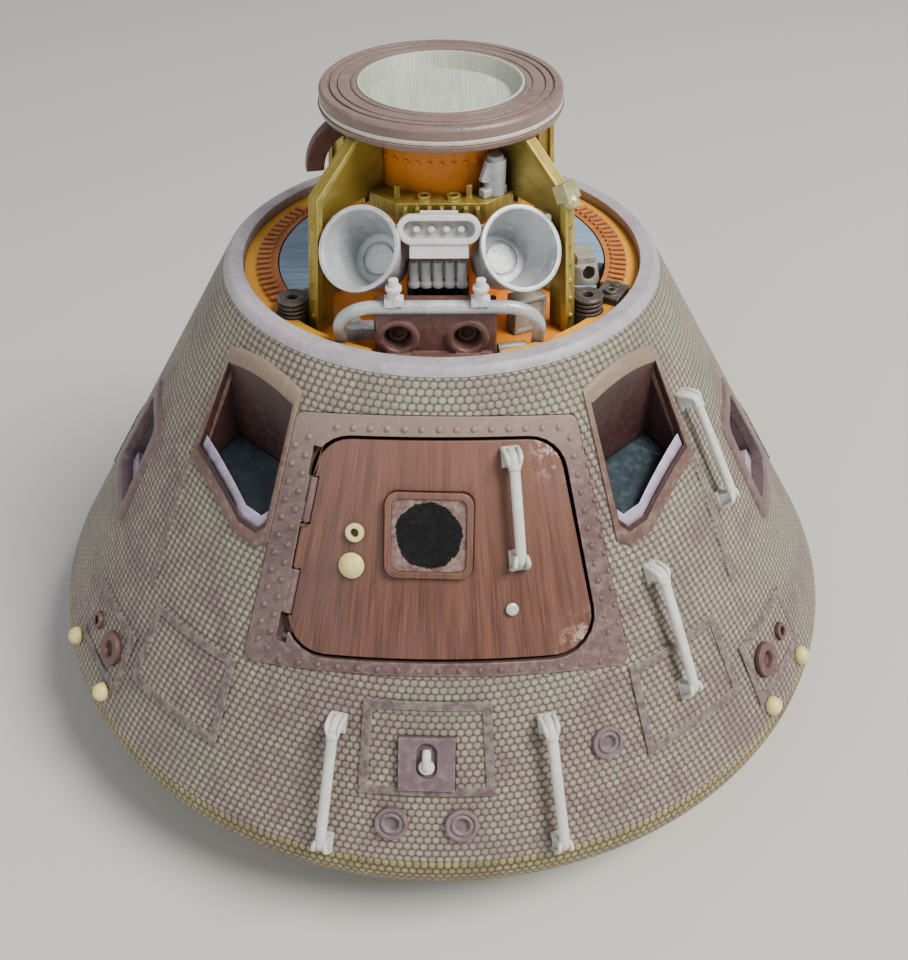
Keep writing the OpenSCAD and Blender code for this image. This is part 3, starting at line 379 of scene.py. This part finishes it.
# %% Hatch material
p = Paint("hatch_copper", 1.0, 4.0)
b = p.use(brush, Across=p.math("MULTIPLY", p.at["Azimuth"], 56.0), Along=p.at["Height"], Fine=1.0)
tone = p.mix(p.span(b["Streak"], 0.34, 0.66), rgb(80, 50, 41), rgb(116, 77, 62))
tone = p.mix(p.span(b["Hair"], 0.45, 0.75, 0.0, 0.5), tone, rgb(148, 108, 88))
tone = p.mix(p.span(b["Hair"], 0.46, 0.28, 0.0, 0.35), tone, rgb(88, 58, 52))
tone = p.mix(p.span(p.w["Patch"], 0.42, 0.66, 0.0, 0.4), tone, rgb(104, 76, 74))
# Painted highlight: the copper grows paler towards the top of the hatch.
tone = p.mix(p.span(p.at["Height"], 60.0, 84.0, 0.0, 0.35), tone, rgb(150, 112, 98))
# Painted shade round the border and in the corners.
tone = p.mix(p.math("MULTIPLY", p.w["Corner shade"], 0.65), tone, rgb(70, 46, 42))
# Lighter edges, partly rubbed paint and partly painted highlight.
tone = p.mix(p.math("MULTIPLY", p.w["Edge"], 0.35), tone, rgb(176, 136, 118))
right = p.span(p.at["Azimuth"], 0.27, 0.4)
ends = p.math("MAXIMUM", p.span(p.at["Height"], 58.0, 50.5), p.span(p.at["Height"], 74.0, 81.0))
flakes = p.span(p.noise(p.at["Point"], 0.62, 5.0, 0.7), 0.5, 0.56)
chip = p.math("MULTIPLY", p.math("MULTIPLY", right, ends), flakes)
tone = p.mix(chip, tone, rgb(196, 178, 164))
strokes = p.math("ADD", p.scaled(b["Hair"], 0.8), p.scaled(b["Streak"], 0.5))
relief = p.math("SUBTRACT", strokes, p.scaled(chip, 0.5))
shine = p.span(b["Hair"], 0.3, 0.75, 0.52, 0.34)
MATS["copper"] = p.done(tone, shine, relief, 0.00009, Specular_IOR_Level=0.45)
print("hatch paint ready")

# %% [markdown]
# ## The torn black pane
# A glossy black film whose rim is torn, so the hazy clear disc behind shows through.

# %% Pane materials
p = Paint("torn_black_film", 1.0, 5.0)
centre = place(WINDOW_AZ, WINDOW_Z).translation
from_centre = {0: p.at["Point"], 1: tuple(centre)}
offset = p.add("ShaderNodeVectorMath", from_centre, operation="SUBTRACT").outputs[0]
away = p.add("ShaderNodeVectorMath", {0: offset}, operation="LENGTH").outputs["Value"]
jitter = p.math("SUBTRACT", p.noise(p.at["Point"], 0.45, 5.0, 0.7), 0.5)
ragged = p.math("ADD", away, p.scaled(jitter, 1.9))
torn = p.span(ragged, 5.2, 5.28)
drawn_out = p.xyz(p.scaled(p.at["Azimuth"], 130.0), p.at["Height"])
scratch = p.span(p.noise(drawn_out, 1.3, 6.0, 0.8), 0.60, 0.63)
tone = p.mix(p.math("MULTIPLY", scratch, 0.5), rgb(14, 14, 15), rgb(96, 90, 92))
tone = p.mix(torn, tone, p.mix(p.span(p.w["Mottle"], 0.3, 0.7), rgb(104, 80, 72), rgb(150, 128, 120)))
shine = p.span(p.w["Mottle"], 0.3, 0.7, 0.16, 0.38)
MATS["black_pane"] = p.done(tone, shine, p.math("SUBTRACT", p.w["Mottle"], torn), 0.00008)

p = Paint("teal_pane", 1.0, 6.0)
tone = p.mix(p.span(p.w["Patch"], 0.35, 0.65), rgb(28, 38, 46), rgb(48, 62, 70))
# Painted shade in the corners and recesses round the pane.
tone = p.mix(p.scaled(p.w["Corner shade"], 0.75), tone, rgb(26, 26, 30))
tone = p.mix(p.span(p.w["Mottle"], 0.5, 0.75, 0.0, 0.25), tone, rgb(84, 98, 104))
MATS["pane"] = p.done(tone, p.span(p.w["Mottle"], 0.3, 0.7, 0.14, 0.42), p.w["Mottle"], 0.00005)
print("pane materials ready")

# %% [markdown]
# ## The other paints
# Each one is the same hand-brushed paint with its own colours, seed and shine.

# %% Plain paints
PAINTS = {
    "screw": (rgb(150, 150, 148), rgb(70, 66, 60), rgb(215, 214, 210), dict(metal=0.9, rough=0.32)),
    "cabin": (rgb(138, 142, 134), rgb(86, 88, 82), rgb(176, 180, 170), {}),
    "couch": (rgb(168, 160, 136), rgb(96, 88, 70), rgb(206, 198, 176), {}),
    "frame": (rgb(110, 88, 87), rgb(74, 52, 54), rgb(166, 144, 132),
              dict(rough=0.45, mottled=0.8, edge=0.8, pale=(70.0, 86.0, 0.0, 0.6))),
    "brass": (rgb(190, 150, 84), rgb(96, 70, 40), rgb(228, 200, 140), dict(metal=0.9, rough=0.3)),
    "rail": (rgb(222, 220, 213), rgb(120, 112, 104), rgb(240, 240, 236), dict(rough=0.36, mottled=0.5)),
    "cream": (rgb(232, 217, 142), rgb(150, 134, 84), rgb(244, 238, 196), dict(rough=0.34, mottled=0.4)),
    "recess": (rgb(66, 42, 41), rgb(26, 17, 19), rgb(96, 68, 64),
               dict(rough=0.42, mottled=0.6, edge=0.5)),
    "sill": (rgb(182, 170, 194), rgb(120, 98, 112), rgb(226, 220, 228), dict(rough=0.5, mottled=0.7)),
    "port": (rgb(122, 104, 110), rgb(78, 60, 62), rgb(158, 142, 140), dict(rough=0.46, mottled=0.8)),
    "jet": (rgb(106, 76, 70), rgb(58, 40, 40), rgb(142, 116, 106), dict(rough=0.46, mottled=0.8)),
    "rim": (rgb(180, 173, 182), rgb(96, 86, 94), rgb(200, 196, 202), dict(rough=0.42, mottled=0.7)),
    "orange": (rgb(232, 142, 34), rgb(126, 64, 16), rgb(238, 166, 66), dict(rough=0.46)),
    "yellow": (rgb(240, 176, 52), rgb(170, 96, 24), rgb(250, 206, 100), dict(rough=0.46)),
    "fin": (rgb(196, 122, 60), rgb(116, 60, 34), rgb(206, 146, 92), dict(rough=0.5, mottled=0.8)),
    "ring_brown": (rgb(134, 114, 107), rgb(62, 42, 42), rgb(164, 142, 132),
                   dict(rough=0.33, mottled=0.45, edge=0.8)),
    "seal": (rgb(212, 204, 192), rgb(140, 122, 106), rgb(238, 234, 226), dict(rough=0.4)),
    "knee": (rgb(206, 198, 146), rgb(126, 112, 60), rgb(242, 238, 206), dict(rough=0.3, metal=0.55)),
    "silver": (rgb(196, 200, 202), rgb(112, 114, 118), rgb(232, 236, 238),
               dict(rough=0.36, metal=0.25, mottled=0.8)),
    "white": (rgb(222, 222, 222), rgb(138, 138, 140), rgb(248, 248, 248), dict(rough=0.36, mottled=0.5)),
    "lip": (rgb(112, 86, 80), rgb(70, 48, 46), rgb(166, 148, 124),
            dict(rough=0.5, mottled=0.9, edge=0.9, pale=(76.0, 86.0, 0.0, 0.5))),
    "liner": (rgb(160, 176, 170), rgb(92, 96, 98), rgb(204, 214, 206), dict(rough=0.35)),
    "dark": (rgb(34, 48, 44), rgb(12, 16, 16), rgb(76, 98, 90), dict(rough=0.34)),
    "maroon": (rgb(112, 78, 70), rgb(48, 30, 30), rgb(134, 100, 94), dict(rough=0.42, mottled=0.9)),
    "grey": (rgb(158, 154, 142), rgb(92, 86, 76), rgb(198, 194, 184), dict(rough=0.45, mottled=0.8)),
    "iron": (rgb(98, 90, 84), rgb(48, 42, 38), rgb(148, 140, 132),
             dict(rough=0.36, metal=0.35, mottled=0.9)),
}
for number, (slot_name, (base, dark, light, extra)) in enumerate(PAINTS.items()):
    MATS[slot_name] = worn_lit_and_shaded_paint(slot_name + "_paint", base, dark, light, seed=10.0 + number, **extra)
print("paints:", len(MATS))

# %% [markdown]
# ## Brushed paints
# The blue side panels, the gold brackets and the pale cover show their brush strokes.

# %% Brushed materials
def brushed_paint(name, base, dark, light, across, along, seed, rough=0.4, metal=0.0, edge=0.7,
                  band=None):
    p = Paint(name, 1.0, seed)
    b = p.use(brush, Across=across(p), Along=along(p), Fine=0.8)
    tone = p.mix(p.span(b["Streak"], 0.36, 0.66), p.mix(0.3, base, dark), base)
    tone = p.mix(p.span(b["Hair"], 0.45, 0.72, 0.0, 0.6), tone, light)
    # Painted shade in corners and recesses.
    tone = p.mix(p.math("MULTIPLY", p.w["Corner shade"], 0.85), tone, dark)
    # The optional band of radii is painted shade: on the cover it darkens the sloping wall of the recess.
    if band:
        inner, outer = band
        wall = p.math("MULTIPLY", p.span(p.at["Radius"], inner - 0.2, inner + 0.1),
                      p.span(p.at["Radius"], outer + 0.1, outer - 0.2))
        tone = p.mix(p.scaled(wall, 0.6), tone, dark)
    # Lighter edges, partly rubbed paint and partly painted highlight.
    tone = p.mix(p.math("MULTIPLY", p.w["Edge"], edge), tone, light)
    relief = p.math("ADD", b["Hair"], p.math("MULTIPLY", p.w["Grain"], 0.25))
    shine = p.span(b["Hair"], 0.3, 0.7, rough + 0.12, rough - 0.06)
    return p.done(tone, shine, relief, 0.00011, metal)


def axis_of(name, factor=1.0):
    return lambda p: p.math("MULTIPLY", p.at[name], factor)


def part_of(index):
    return lambda p: p.add("ShaderNodeSeparateXYZ", {0: p.at["Point"]}).outputs[index]


MATS["blue"] = brushed_paint(
    "blue_brushed", rgb(138, 166, 196), rgb(68, 82, 102), rgb(184, 204, 222),
    part_of(1), part_of(0), 40.0)
MATS["gold"] = brushed_paint(
    "gold_brushed", rgb(172, 150, 62), rgb(92, 72, 28), rgb(232, 218, 138), axis_of("Azimuth", 24.0),
    part_of(2), 41.0, 0.32, 0.6, 0.9)
MATS["cover"] = brushed_paint(
    "cover_brushed", rgb(196, 202, 188), rgb(140, 146, 132), rgb(226, 230, 220), part_of(0), part_of(1),
    42.0, 0.34, band=(11.4, 13.2))
print("brushed paints: blue, gold, cover")

# %% [markdown]
# ## Softened solids
# Each solid is copied, its sharp edges are rounded a little, and the copy stands for the solid.

# %% Dress the solids
BODY_OF = {n: b for b, ns in frame["record"]["behaviour"]["bodies"].items() for n in ns}
SLOT_OF = {s["node"]: s["material_slot"] for s in frame["record"]["subparts"]}


def shade(obj, sharp=50):
    mesh = obj.data
    mesh.polygons.foreach_set("use_smooth", [True] * len(mesh.polygons))
    mesh.set_sharp_from_angle(angle=math.radians(sharp))
    even = obj.modifiers.new("even_normals", "WEIGHTED_NORMAL")
    even.keep_sharp = True


def adopt(obj, body, slot_name, *nodes):
    bpy.context.scene.collection.objects.link(obj)
    obj.data.materials.append(MATS[slot_name])
    shade(obj)
    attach(obj, body)
    if nodes:
        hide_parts(*nodes)
    return obj


def soften(bm, width, angle=35):
    bmesh.ops.remove_doubles(bm, verts=bm.verts, dist=2e-6)
    sharp = [e for e in bm.edges if len(e.link_faces) == 2 and e.calc_face_angle(0) > math.radians(angle)]
    if sharp and width > 0:
        bmesh.ops.bevel(bm, geom=sharp, offset=width, segments=2, profile=0.5, affect="EDGES",
                        clamp_overlap=False)


def dress(node, width=0.12):
    mesh = bpy.data.meshes.new(node + "_finish")
    bm = bmesh.new()
    bm.from_mesh(frame["nodes"][node].data)
    soften(bm, width * MM)
    bm.to_mesh(mesh)
    bm.free()
    return adopt(bpy.data.objects.new(node + "_finish", mesh), BODY_OF[node], SLOT_OF[node], node)


REMADE = {"skin_rails", "hatch_handrail", "frame_rivets", "hatch_pane"}
WIDTHS = {"hatch_panel": 0.2, "hatch_frame": 0.15, "cone_shell": 0.15, "deck_rim": 0.15,
          "nozzle_block": 0.3, "mortar_left": 0.1, "mortar_right": 0.1, "slot_box": 0.15,
          "bay_fins": 0.08, "tunnel": 0.1, "hinge_pin": 0.0, "vent_ports": 0.1, "bay_box": 0.2,
          "pump_housing": 0.15, "arch_fin": 0.2, "aft_dish": 0.1}
for node in sorted(frame["nodes"]):
    if node not in REMADE:
        dress(node, WIDTHS.get(node, 0.12))
print("softened solids:", len(frame["nodes"]) - len(REMADE))

# %% [markdown]
# ## Pieces modelled again
# `Shape` gathers tubes, blocks and turned pieces in millimetres and makes one mesh of them.

# %% Shape kit
CORNERS = ((-1, -1), (1, -1), (1, 1), (-1, 1))


def circle(sides):
    return [math.tau * j / sides for j in range(sides)]


class Shape:
    def __init__(self):
        self.bm = bmesh.new()

    def skin_rings(self, rings, closed=True, caps=True):
        rows = [[self.bm.verts.new(v * MM) for v in ring] for ring in rings]
        for a, b in zip(rows, rows[1:]):
            n = len(a)
            for k in range(n if closed else n - 1):
                self.bm.faces.new((a[k], a[(k + 1) % n], b[(k + 1) % n], b[k]))
        if caps:
            self.bm.faces.new(list(reversed(rows[0])))
            self.bm.faces.new(rows[-1])

    def tube(self, points, radii, at=Matrix.Identity(4), sides=16, flat=1.0):
        """A bar along the points; flat squashes it in its own y."""
        pts = [at @ Vector(p) for p in points]
        up = (at.to_3x3() @ Vector((1, 0, 0))).normalized()
        rings = []
        for k, point in enumerate(pts):
            ahead = (pts[min(k + 1, len(pts) - 1)] - pts[max(k - 1, 0)]).normalized()
            side = (up - ahead * up.dot(ahead)).normalized()
            other = ahead.cross(side)
            r = radii[k] if isinstance(radii, (list, tuple)) else radii
            rings.append([point + side * r * math.cos(t) + other * r * flat * math.sin(t)
                          for t in circle(sides)])
        self.skin_rings(rings)

    def block(self, low, high, z0, z1, at=Matrix.Identity(4), shift=(0, 0)):
        """A tapered block: low and high are its (width, depth) at z0 and z1."""
        rings = []
        for (w, d), z, (sx, sy) in ((low, z0, (0, 0)), (high, z1, shift)):
            rings.append([at @ Vector((sx + x * w / 2, sy + y * d / 2, z)) for x, y in CORNERS])
        self.skin_rings(rings)

    def turned(self, profile, at=Matrix.Identity(4), sides=20):
        rings = [[at @ Vector((r * math.cos(t), r * math.sin(t), z)) for t in circle(sides)]
                 for r, z in profile]
        self.skin_rings(rings)

    def finish(self, name, body, slot_name, *nodes, bevel=0.0):
        bmesh.ops.recalc_face_normals(self.bm, faces=self.bm.faces)
        if bevel:
            soften(self.bm, bevel * MM)
        mesh = bpy.data.meshes.new(name)
        self.bm.to_mesh(mesh)
        self.bm.free()
        return adopt(bpy.data.objects.new(name, mesh), body, slot_name, *nodes)


def curve(points, steps=6):
    """A smooth path through the points."""
    pts = [Vector(p) for p in points]
    pts = [pts[0] * 2 - pts[1]] + pts + [pts[-1] * 2 - pts[-2]]
    path = []
    for a, b, c, d in zip(pts, pts[1:], pts[2:], pts[3:]):
        for k in range(steps):
            t = k / steps
            bend, twist = 2 * a - 5 * b + 4 * c - d, 3 * b - a - 3 * c + d
            path.append(0.5 * (2 * b + (c - a) * t + bend * t * t + twist * t ** 3))
    return path + [pts[-2]]


print("shape kit ready")

# %% [markdown]
# ## Handrails
# A slim bar held off the skin by a forked clamp at its upper end and a rounded foot below.

# %% Handrails
def rail(shape, azimuth, z, length, turn, rise=2.7, r=0.9):
    at = place(azimuth, z, 0.0, turn)
    h = length / 2
    bar = curve([(0, -h - 0.7, 0.2), (0, -h - 0.1, rise * 0.72), (0, -h + 1.5, rise), (0, 0, rise + 0.1),
                 (0, h - 1.5, rise), (0, h + 0.2, rise * 0.8), (0, h + 1.0, 0.3)])
    shape.tube(bar, r, at, 14, 0.85)
    for s in (-1, 1):
        foot = at @ Matrix.Translation((0, s * h, 0))
        shape.block((3.0, 3.6), (2.7, 3.2), -0.7, 0.55, foot)
        shape.block((2.3, 2.3), (1.75, 1.7), 0.5, rise * 0.9, foot, (0, -s * 0.3))
        for x in (-1.05, 1.05):
            ear = curve([(x * 1.15, s * 1.3, 0.3), (x * 1.1, s * 1.0, rise * 0.6),
                         (x, s * 0.2, rise + 0.25), (x * 0.8, -s * 1.2, rise + 0.2)], 4)
            shape.tube(ear, [0.42] * (len(ear) - 3) + [0.38, 0.34, 0.28], foot, 10)
    collar = at @ Matrix.Translation((0, h - 1.4, rise)) @ Matrix.Rotation(math.pi / 2, 4, "X")
    shape.turned([(0.75, -0.5), (1.02, -0.4), (1.05, 0), (1.02, 0.4), (0.75, 0.5)], collar, 16)


rails = Shape()
SKIN_RAILS = (  # azimuth, height, length, turn
    (-14.45, 33.35, 20.8, 0), (14.1, 33.25, 20.6, 0), (36, 48.5, 21.6, 0), (58.3, 67.65, 19.8, -3))
for spec in SKIN_RAILS:
    rail(rails, *spec)
rails.finish("skin_handrails", "capsule", "rail", "skin_rails", bevel=0.1)
grip = Shape()
rail(grip, HATCH_AZ + 13.5, 72.9, 16.5, -2, 2.4, 0.85)
grip.finish("hatch_grip", "hatch", "rail", "hatch_handrail", bevel=0.1)
print("handrails: 5")

# %% [markdown]
# ## Rivets of the hatch surround
# Low domes in two loose columns on each side and a row above and below the hatch. The upper row
# starts one rivet late, because the open hatch's corner stands there.

# %% Rivets
def rivet(shape, azimuth, z, lift, r=0.52):
    at = place(azimuth, z, lift - 0.2)
    shape.turned([(r * 1.12, 0), (r, 0.26), (r * 0.7, 0.44), (r * 0.28, 0.53)], at, 12)


def flat_xy(d, z):
    """The hatch's outlines are laid out in the plane that touches the skin at its middle."""
    r, m = skin_radius(z), skin_radius(HATCH_MID)
    a = math.radians(d)
    rise = math.sin(CONE) * (m - r * math.cos(a)) + (z - HATCH_MID) * math.cos(CONE)
    return Vector((r * math.sin(a), rise))


def from_flat(x, y):
    """The azimuth and height of the skin straight below a point of that plane."""
    m = place(HATCH_AZ, HATCH_MID)
    spot, inward = m @ Vector((x, y, 0)), -m.col[2].xyz
    for _ in range(12):
        spot += inward * (spot.xy.length - skin_radius(spot.z)) * math.cos(CONE)
    return math.degrees(math.atan2(spot.x, -spot.y)), spot.z


PLATE_PROUD = 0.35
rivets = Shape()
count = 0
low_l, low_r = flat_xy(-HATCH_HALF, HATCH_LOW), flat_xy(HATCH_HALF, HATCH_LOW)
high_l, high_r = flat_xy(-HATCH_HALF, HATCH_HIGH), flat_xy(HATCH_HALF, HATCH_HIGH)
SIDE_COLUMNS = ((1.9, 0.0), (3.9, 0.5))  # distance from the hatch's edge, and stagger
END_ROW = ((1.75, 0.0),)
for start, end, side, number in ((low_l, high_l, Vector((-1, 0)), 13),
                                 (low_r, high_r, Vector((1, 0)), 13),
                                 (low_l, low_r, Vector((0, -1)), 17),
                                 (high_l, high_r, Vector((0, 1)), 15)):
    first = 1 if side.y > 0 else 0
    for k in range(first, number):
        for push, step in SIDE_COLUMNS if side.x else END_ROW:
            spot = start.lerp(end, (k + step) / (number - 1)) + side * push
            if k + step <= number - 1:
                rivet(rivets, *from_flat(spot.x, spot.y), PLATE_PROUD)
                count += 1
rivets.finish("surround_rivets", "capsule", "frame", "frame_rivets")
print("rivets:", count)

# %% [markdown]
# ## Lips of the nose windows
# A low moulded lip runs round each deep window, where the well breaks through the skin.

# %% Window lips
def polar(r, a):
    return Vector((r * math.sin(math.radians(a)), -r * math.cos(math.radians(a))))


def window_plan(s, o):
    return [polar(43.1 - o, s * (54.9 + o)), polar(43.2 - o, s * (33.1 - o)),
            polar(53.4 + o, s * (32.3 - o)), polar(54.3 + o, s * (33.9 - o / 2)),
            polar(54.1 + o, s * (37.8 + o / 3)), polar(51.1 + o, s * (53.8 + o))]


def on_cone(xy, lift):
    r = xy.length
    z = BAY_Z - (r - BAY_R) / math.tan(CONE)
    out_dir = Vector((xy.x / r, xy.y / r, 0))
    normal = out_dir * math.cos(CONE) + Vector((0, 0, math.sin(CONE)))
    return out_dir * r + Vector((0, 0, z)) + normal * lift


def lip(name, s):
    shape = Shape()
    loops = []
    for o, lift in ((0.1, -1.5), (0.1, 0.2), (0.3, 0.42), (1.0, 0.46), (1.35, 0.34), (1.5, -0.12)):
        plan = window_plan(s, o)
        loop = []
        for a, b in zip(plan, plan[1:] + plan[:1]):
            loop += [on_cone(a.lerp(b, k / 12), lift) for k in range(12)]
        loops.append(loop)
    shape.skin_rings(loops, caps=False)
    return shape.finish(name, "capsule", "lip")


def side_lip(name, s):
    """The side windows' lip, on an outline drawn in the plane that touches the skin there."""
    shape = Shape()
    at = place(s * 78, 56.5)
    loops = []
    for o, lift in ((-1.1, -1.5), (-1.1, 0.25), (-0.9, 0.46), (0.6, 0.5), (1.5, 0.36), (1.8, -0.12)):
        corners = [Vector(c) for c in ((-8.75 - o, -9.95 - o), (8.75 + o, -9.95 - o),
                                       (6.68 + o, 9.95 + o), (-6.68 - o, 9.95 + o))]
        loop = []
        for a, b, c in zip(corners[-1:] + corners[:-1], corners, corners[1:] + corners[:1]):
            start, end = b + (a - b).normalized() * 2.4, b + (c - b).normalized() * 2.4
            loop += [start.lerp(b, t).lerp(b.lerp(end, t), t) for t in (0, 0.25, 0.5, 0.75)]
            loop += [end.lerp(c + (b - c).normalized() * 2.4, t / 8) for t in range(8)]
        ring = []
        for xy in loop:
            spot = at @ Vector((xy.x, xy.y, 0))
            for _ in range(12):
                spot -= at.col[2].xyz * (spot.xy.length - skin_radius(spot.z)) * math.cos(CONE)
            ring.append(on_cone(spot.xy, lift))
        loops.append(ring)
    shape.skin_rings(loops, caps=False)
    return shape.finish(name, "capsule", "frame")


def seam(name, points, width):
    """A low smooth band on the skin, from place to place."""
    shape = Shape()
    rows = []
    for (a0, z0), (a1, z1) in zip(points, points[1:]):
        rows += [(a0 + (a1 - a0) * t / 8, z0 + (z1 - z0) * t / 8) for t in range(9)]
    loops = []
    half = width / 2
    section = ((-half, -0.3), (-half + 0.3, 0.26), (half - 0.3, 0.26), (half, -0.3))
    for az, z in rows:
        at = place(az, z)
        loops.append([at @ Vector((x, 0, lift)) for x, lift in section])
    shape.skin_rings(loops)
    return shape.finish(name, "capsule", "panel")


for s, word in ((-1, "left"), (1, "right")):
    lip("window_lip_" + word, s)
    side_lip("side_window_lip_" + word, s)
    seam("skin_seam_" + word, [(s * 55.4, 68.5), (s * 52.4, 47.5)], 2.2)
print("window lips: 4, seams: 2")

# %% [markdown]
# ## Port liners, spout and the film in the hatch window
# Small pale rings line the three ports, a white spout sits in the slotted boss, and a silver cap
# closes the small plug. A thin glossy film, black in the middle and torn round the rim, fills the
# window in the hatch.

# %% Small inserts
liners = Shape()
for azimuth, z in ((-6.4, 28.7), (2.2, 28.7), (22.2, 36.8)):
    ring = [(1.28, 0.02), (1.28, 0.62), (1.5, 0.74), (1.74, 0.6), (1.74, 0.02)]
    liners.turned(ring, place(azimuth, z), 28)
liners.finish("port_liners", "capsule", "liner")
spout = Shape()
seat = place(-2.2, 37.9)
spout.tube(curve([(0, -0.7, 0.3), (0, -0.2, 1.25), (0, 1.2, 1.35), (0, 2.1, 0.6)]), 0.72, seat, 14)
dome = [(1.25, 0.3), (1.3, 0.9), (0.9, 1.15), (0.5, 1.2)]
spout.turned(dome, seat @ Matrix.Translation((0, -0.5, 0)), 24)
spout.finish("vent_spout", "capsule", "white")
cap = Shape()
cap.turned([(1.0, 0.3), (1.0, 0.62), (0.7, 0.78), (0.25, 0.84)], place(HATCH_AZ + 11.4, 59.2), 24)
cap.finish("plug_cap", "hatch", "silver")
film = Shape()
outline = []
for x, y in ((-1, -1), (1, -1), (1, 1), (-1, 1)):
    for k in range(7):
        t = math.atan2(y, x) - math.pi / 4 + k * math.pi / 12
        outline.append((x * 4.45 + 1.4 * math.cos(t), y * 4.35 + 1.4 * math.sin(t)))
window = place(WINDOW_AZ, WINDOW_Z)
film.skin_rings([[window @ Vector((x, y, z)) for x, y in outline] for z in (0.12, 0.3)])
film.finish("window_film", "hatch", "black_pane", "hatch_pane")
print("inserts: liners, spout, cap, film")

# %% [markdown]
# ## Stage and light
# A pale floor, one large soft lamp above and to the right, a weaker one from the left, and an
# even pale room.

# %% Stage
FLOOR = 40.0


def stage_floor():
    mesh = bpy.data.meshes.new("floor")
    mesh.from_pydata([(x * FLOOR, y * FLOOR, 0) for x, y in CORNERS], [], [(0, 1, 2, 3)])
    obj = bpy.data.objects.new("floor", mesh)
    bpy.context.scene.collection.objects.link(obj)
    mat = bpy.data.materials.new("pale_floor")
    mat.use_nodes = True
    mat.node_tree.nodes["Principled BSDF"].inputs["Base Color"].default_value = (0.62, 0.6, 0.57, 1)
    mat.node_tree.nodes["Principled BSDF"].inputs["Roughness"].default_value = 0.85
    mesh.materials.append(mat)


def lamp(name, spot, target, size, power, colour):
    data = bpy.data.lights.new(name, "AREA")
    data.shape = "DISK"
    data.size = size
    data.energy = power
    data.color = colour
    obj = bpy.data.objects.new(name, data)
    obj.location = spot
    obj.rotation_euler = (Vector(target) - Vector(spot)).to_track_quat("-Z", "Y").to_euler()
    bpy.context.scene.collection.objects.link(obj)


stage_floor()
lamp("key", (0.58, -0.3, 0.93), (0, 0, 0.06), 0.5, 18.5, (1.0, 0.96, 0.9))
lamp("fill", (-0.7, -0.6, 0.5), (0, 0, 0.06), 0.8, 2.6, (0.95, 0.97, 1.0))
world = bpy.data.worlds.new("soft_room")
bpy.context.scene.world = world
world.use_nodes = True
world.node_tree.nodes["Background"].inputs["Color"].default_value = (0.86, 0.88, 0.92, 1)
world.node_tree.nodes["Background"].inputs["Strength"].default_value = 0.38
print("stage set")

# %% [markdown]
# ## Camera
# It stands above and in front of the hatch and looks down at the model by about 40 degrees. The
# picture is shifted a little, so the model sits as it should without turning the camera.

# %% Camera
eye = bpy.data.cameras.new("camera")
eye.lens = 40.06
eye.sensor_width = 36.0
eye.shift_x = 0.0068
eye.shift_y = -0.0191
camera = bpy.data.objects.new("camera", eye)
camera.location = (0.0, -0.1714, 0.1854)
camera.rotation_euler = (math.radians(90 - 39.94), 0.0, -math.radians(0.35))
bpy.context.scene.collection.objects.link(camera)
bpy.context.scene.camera = camera
print("camera at", tuple(camera.location))
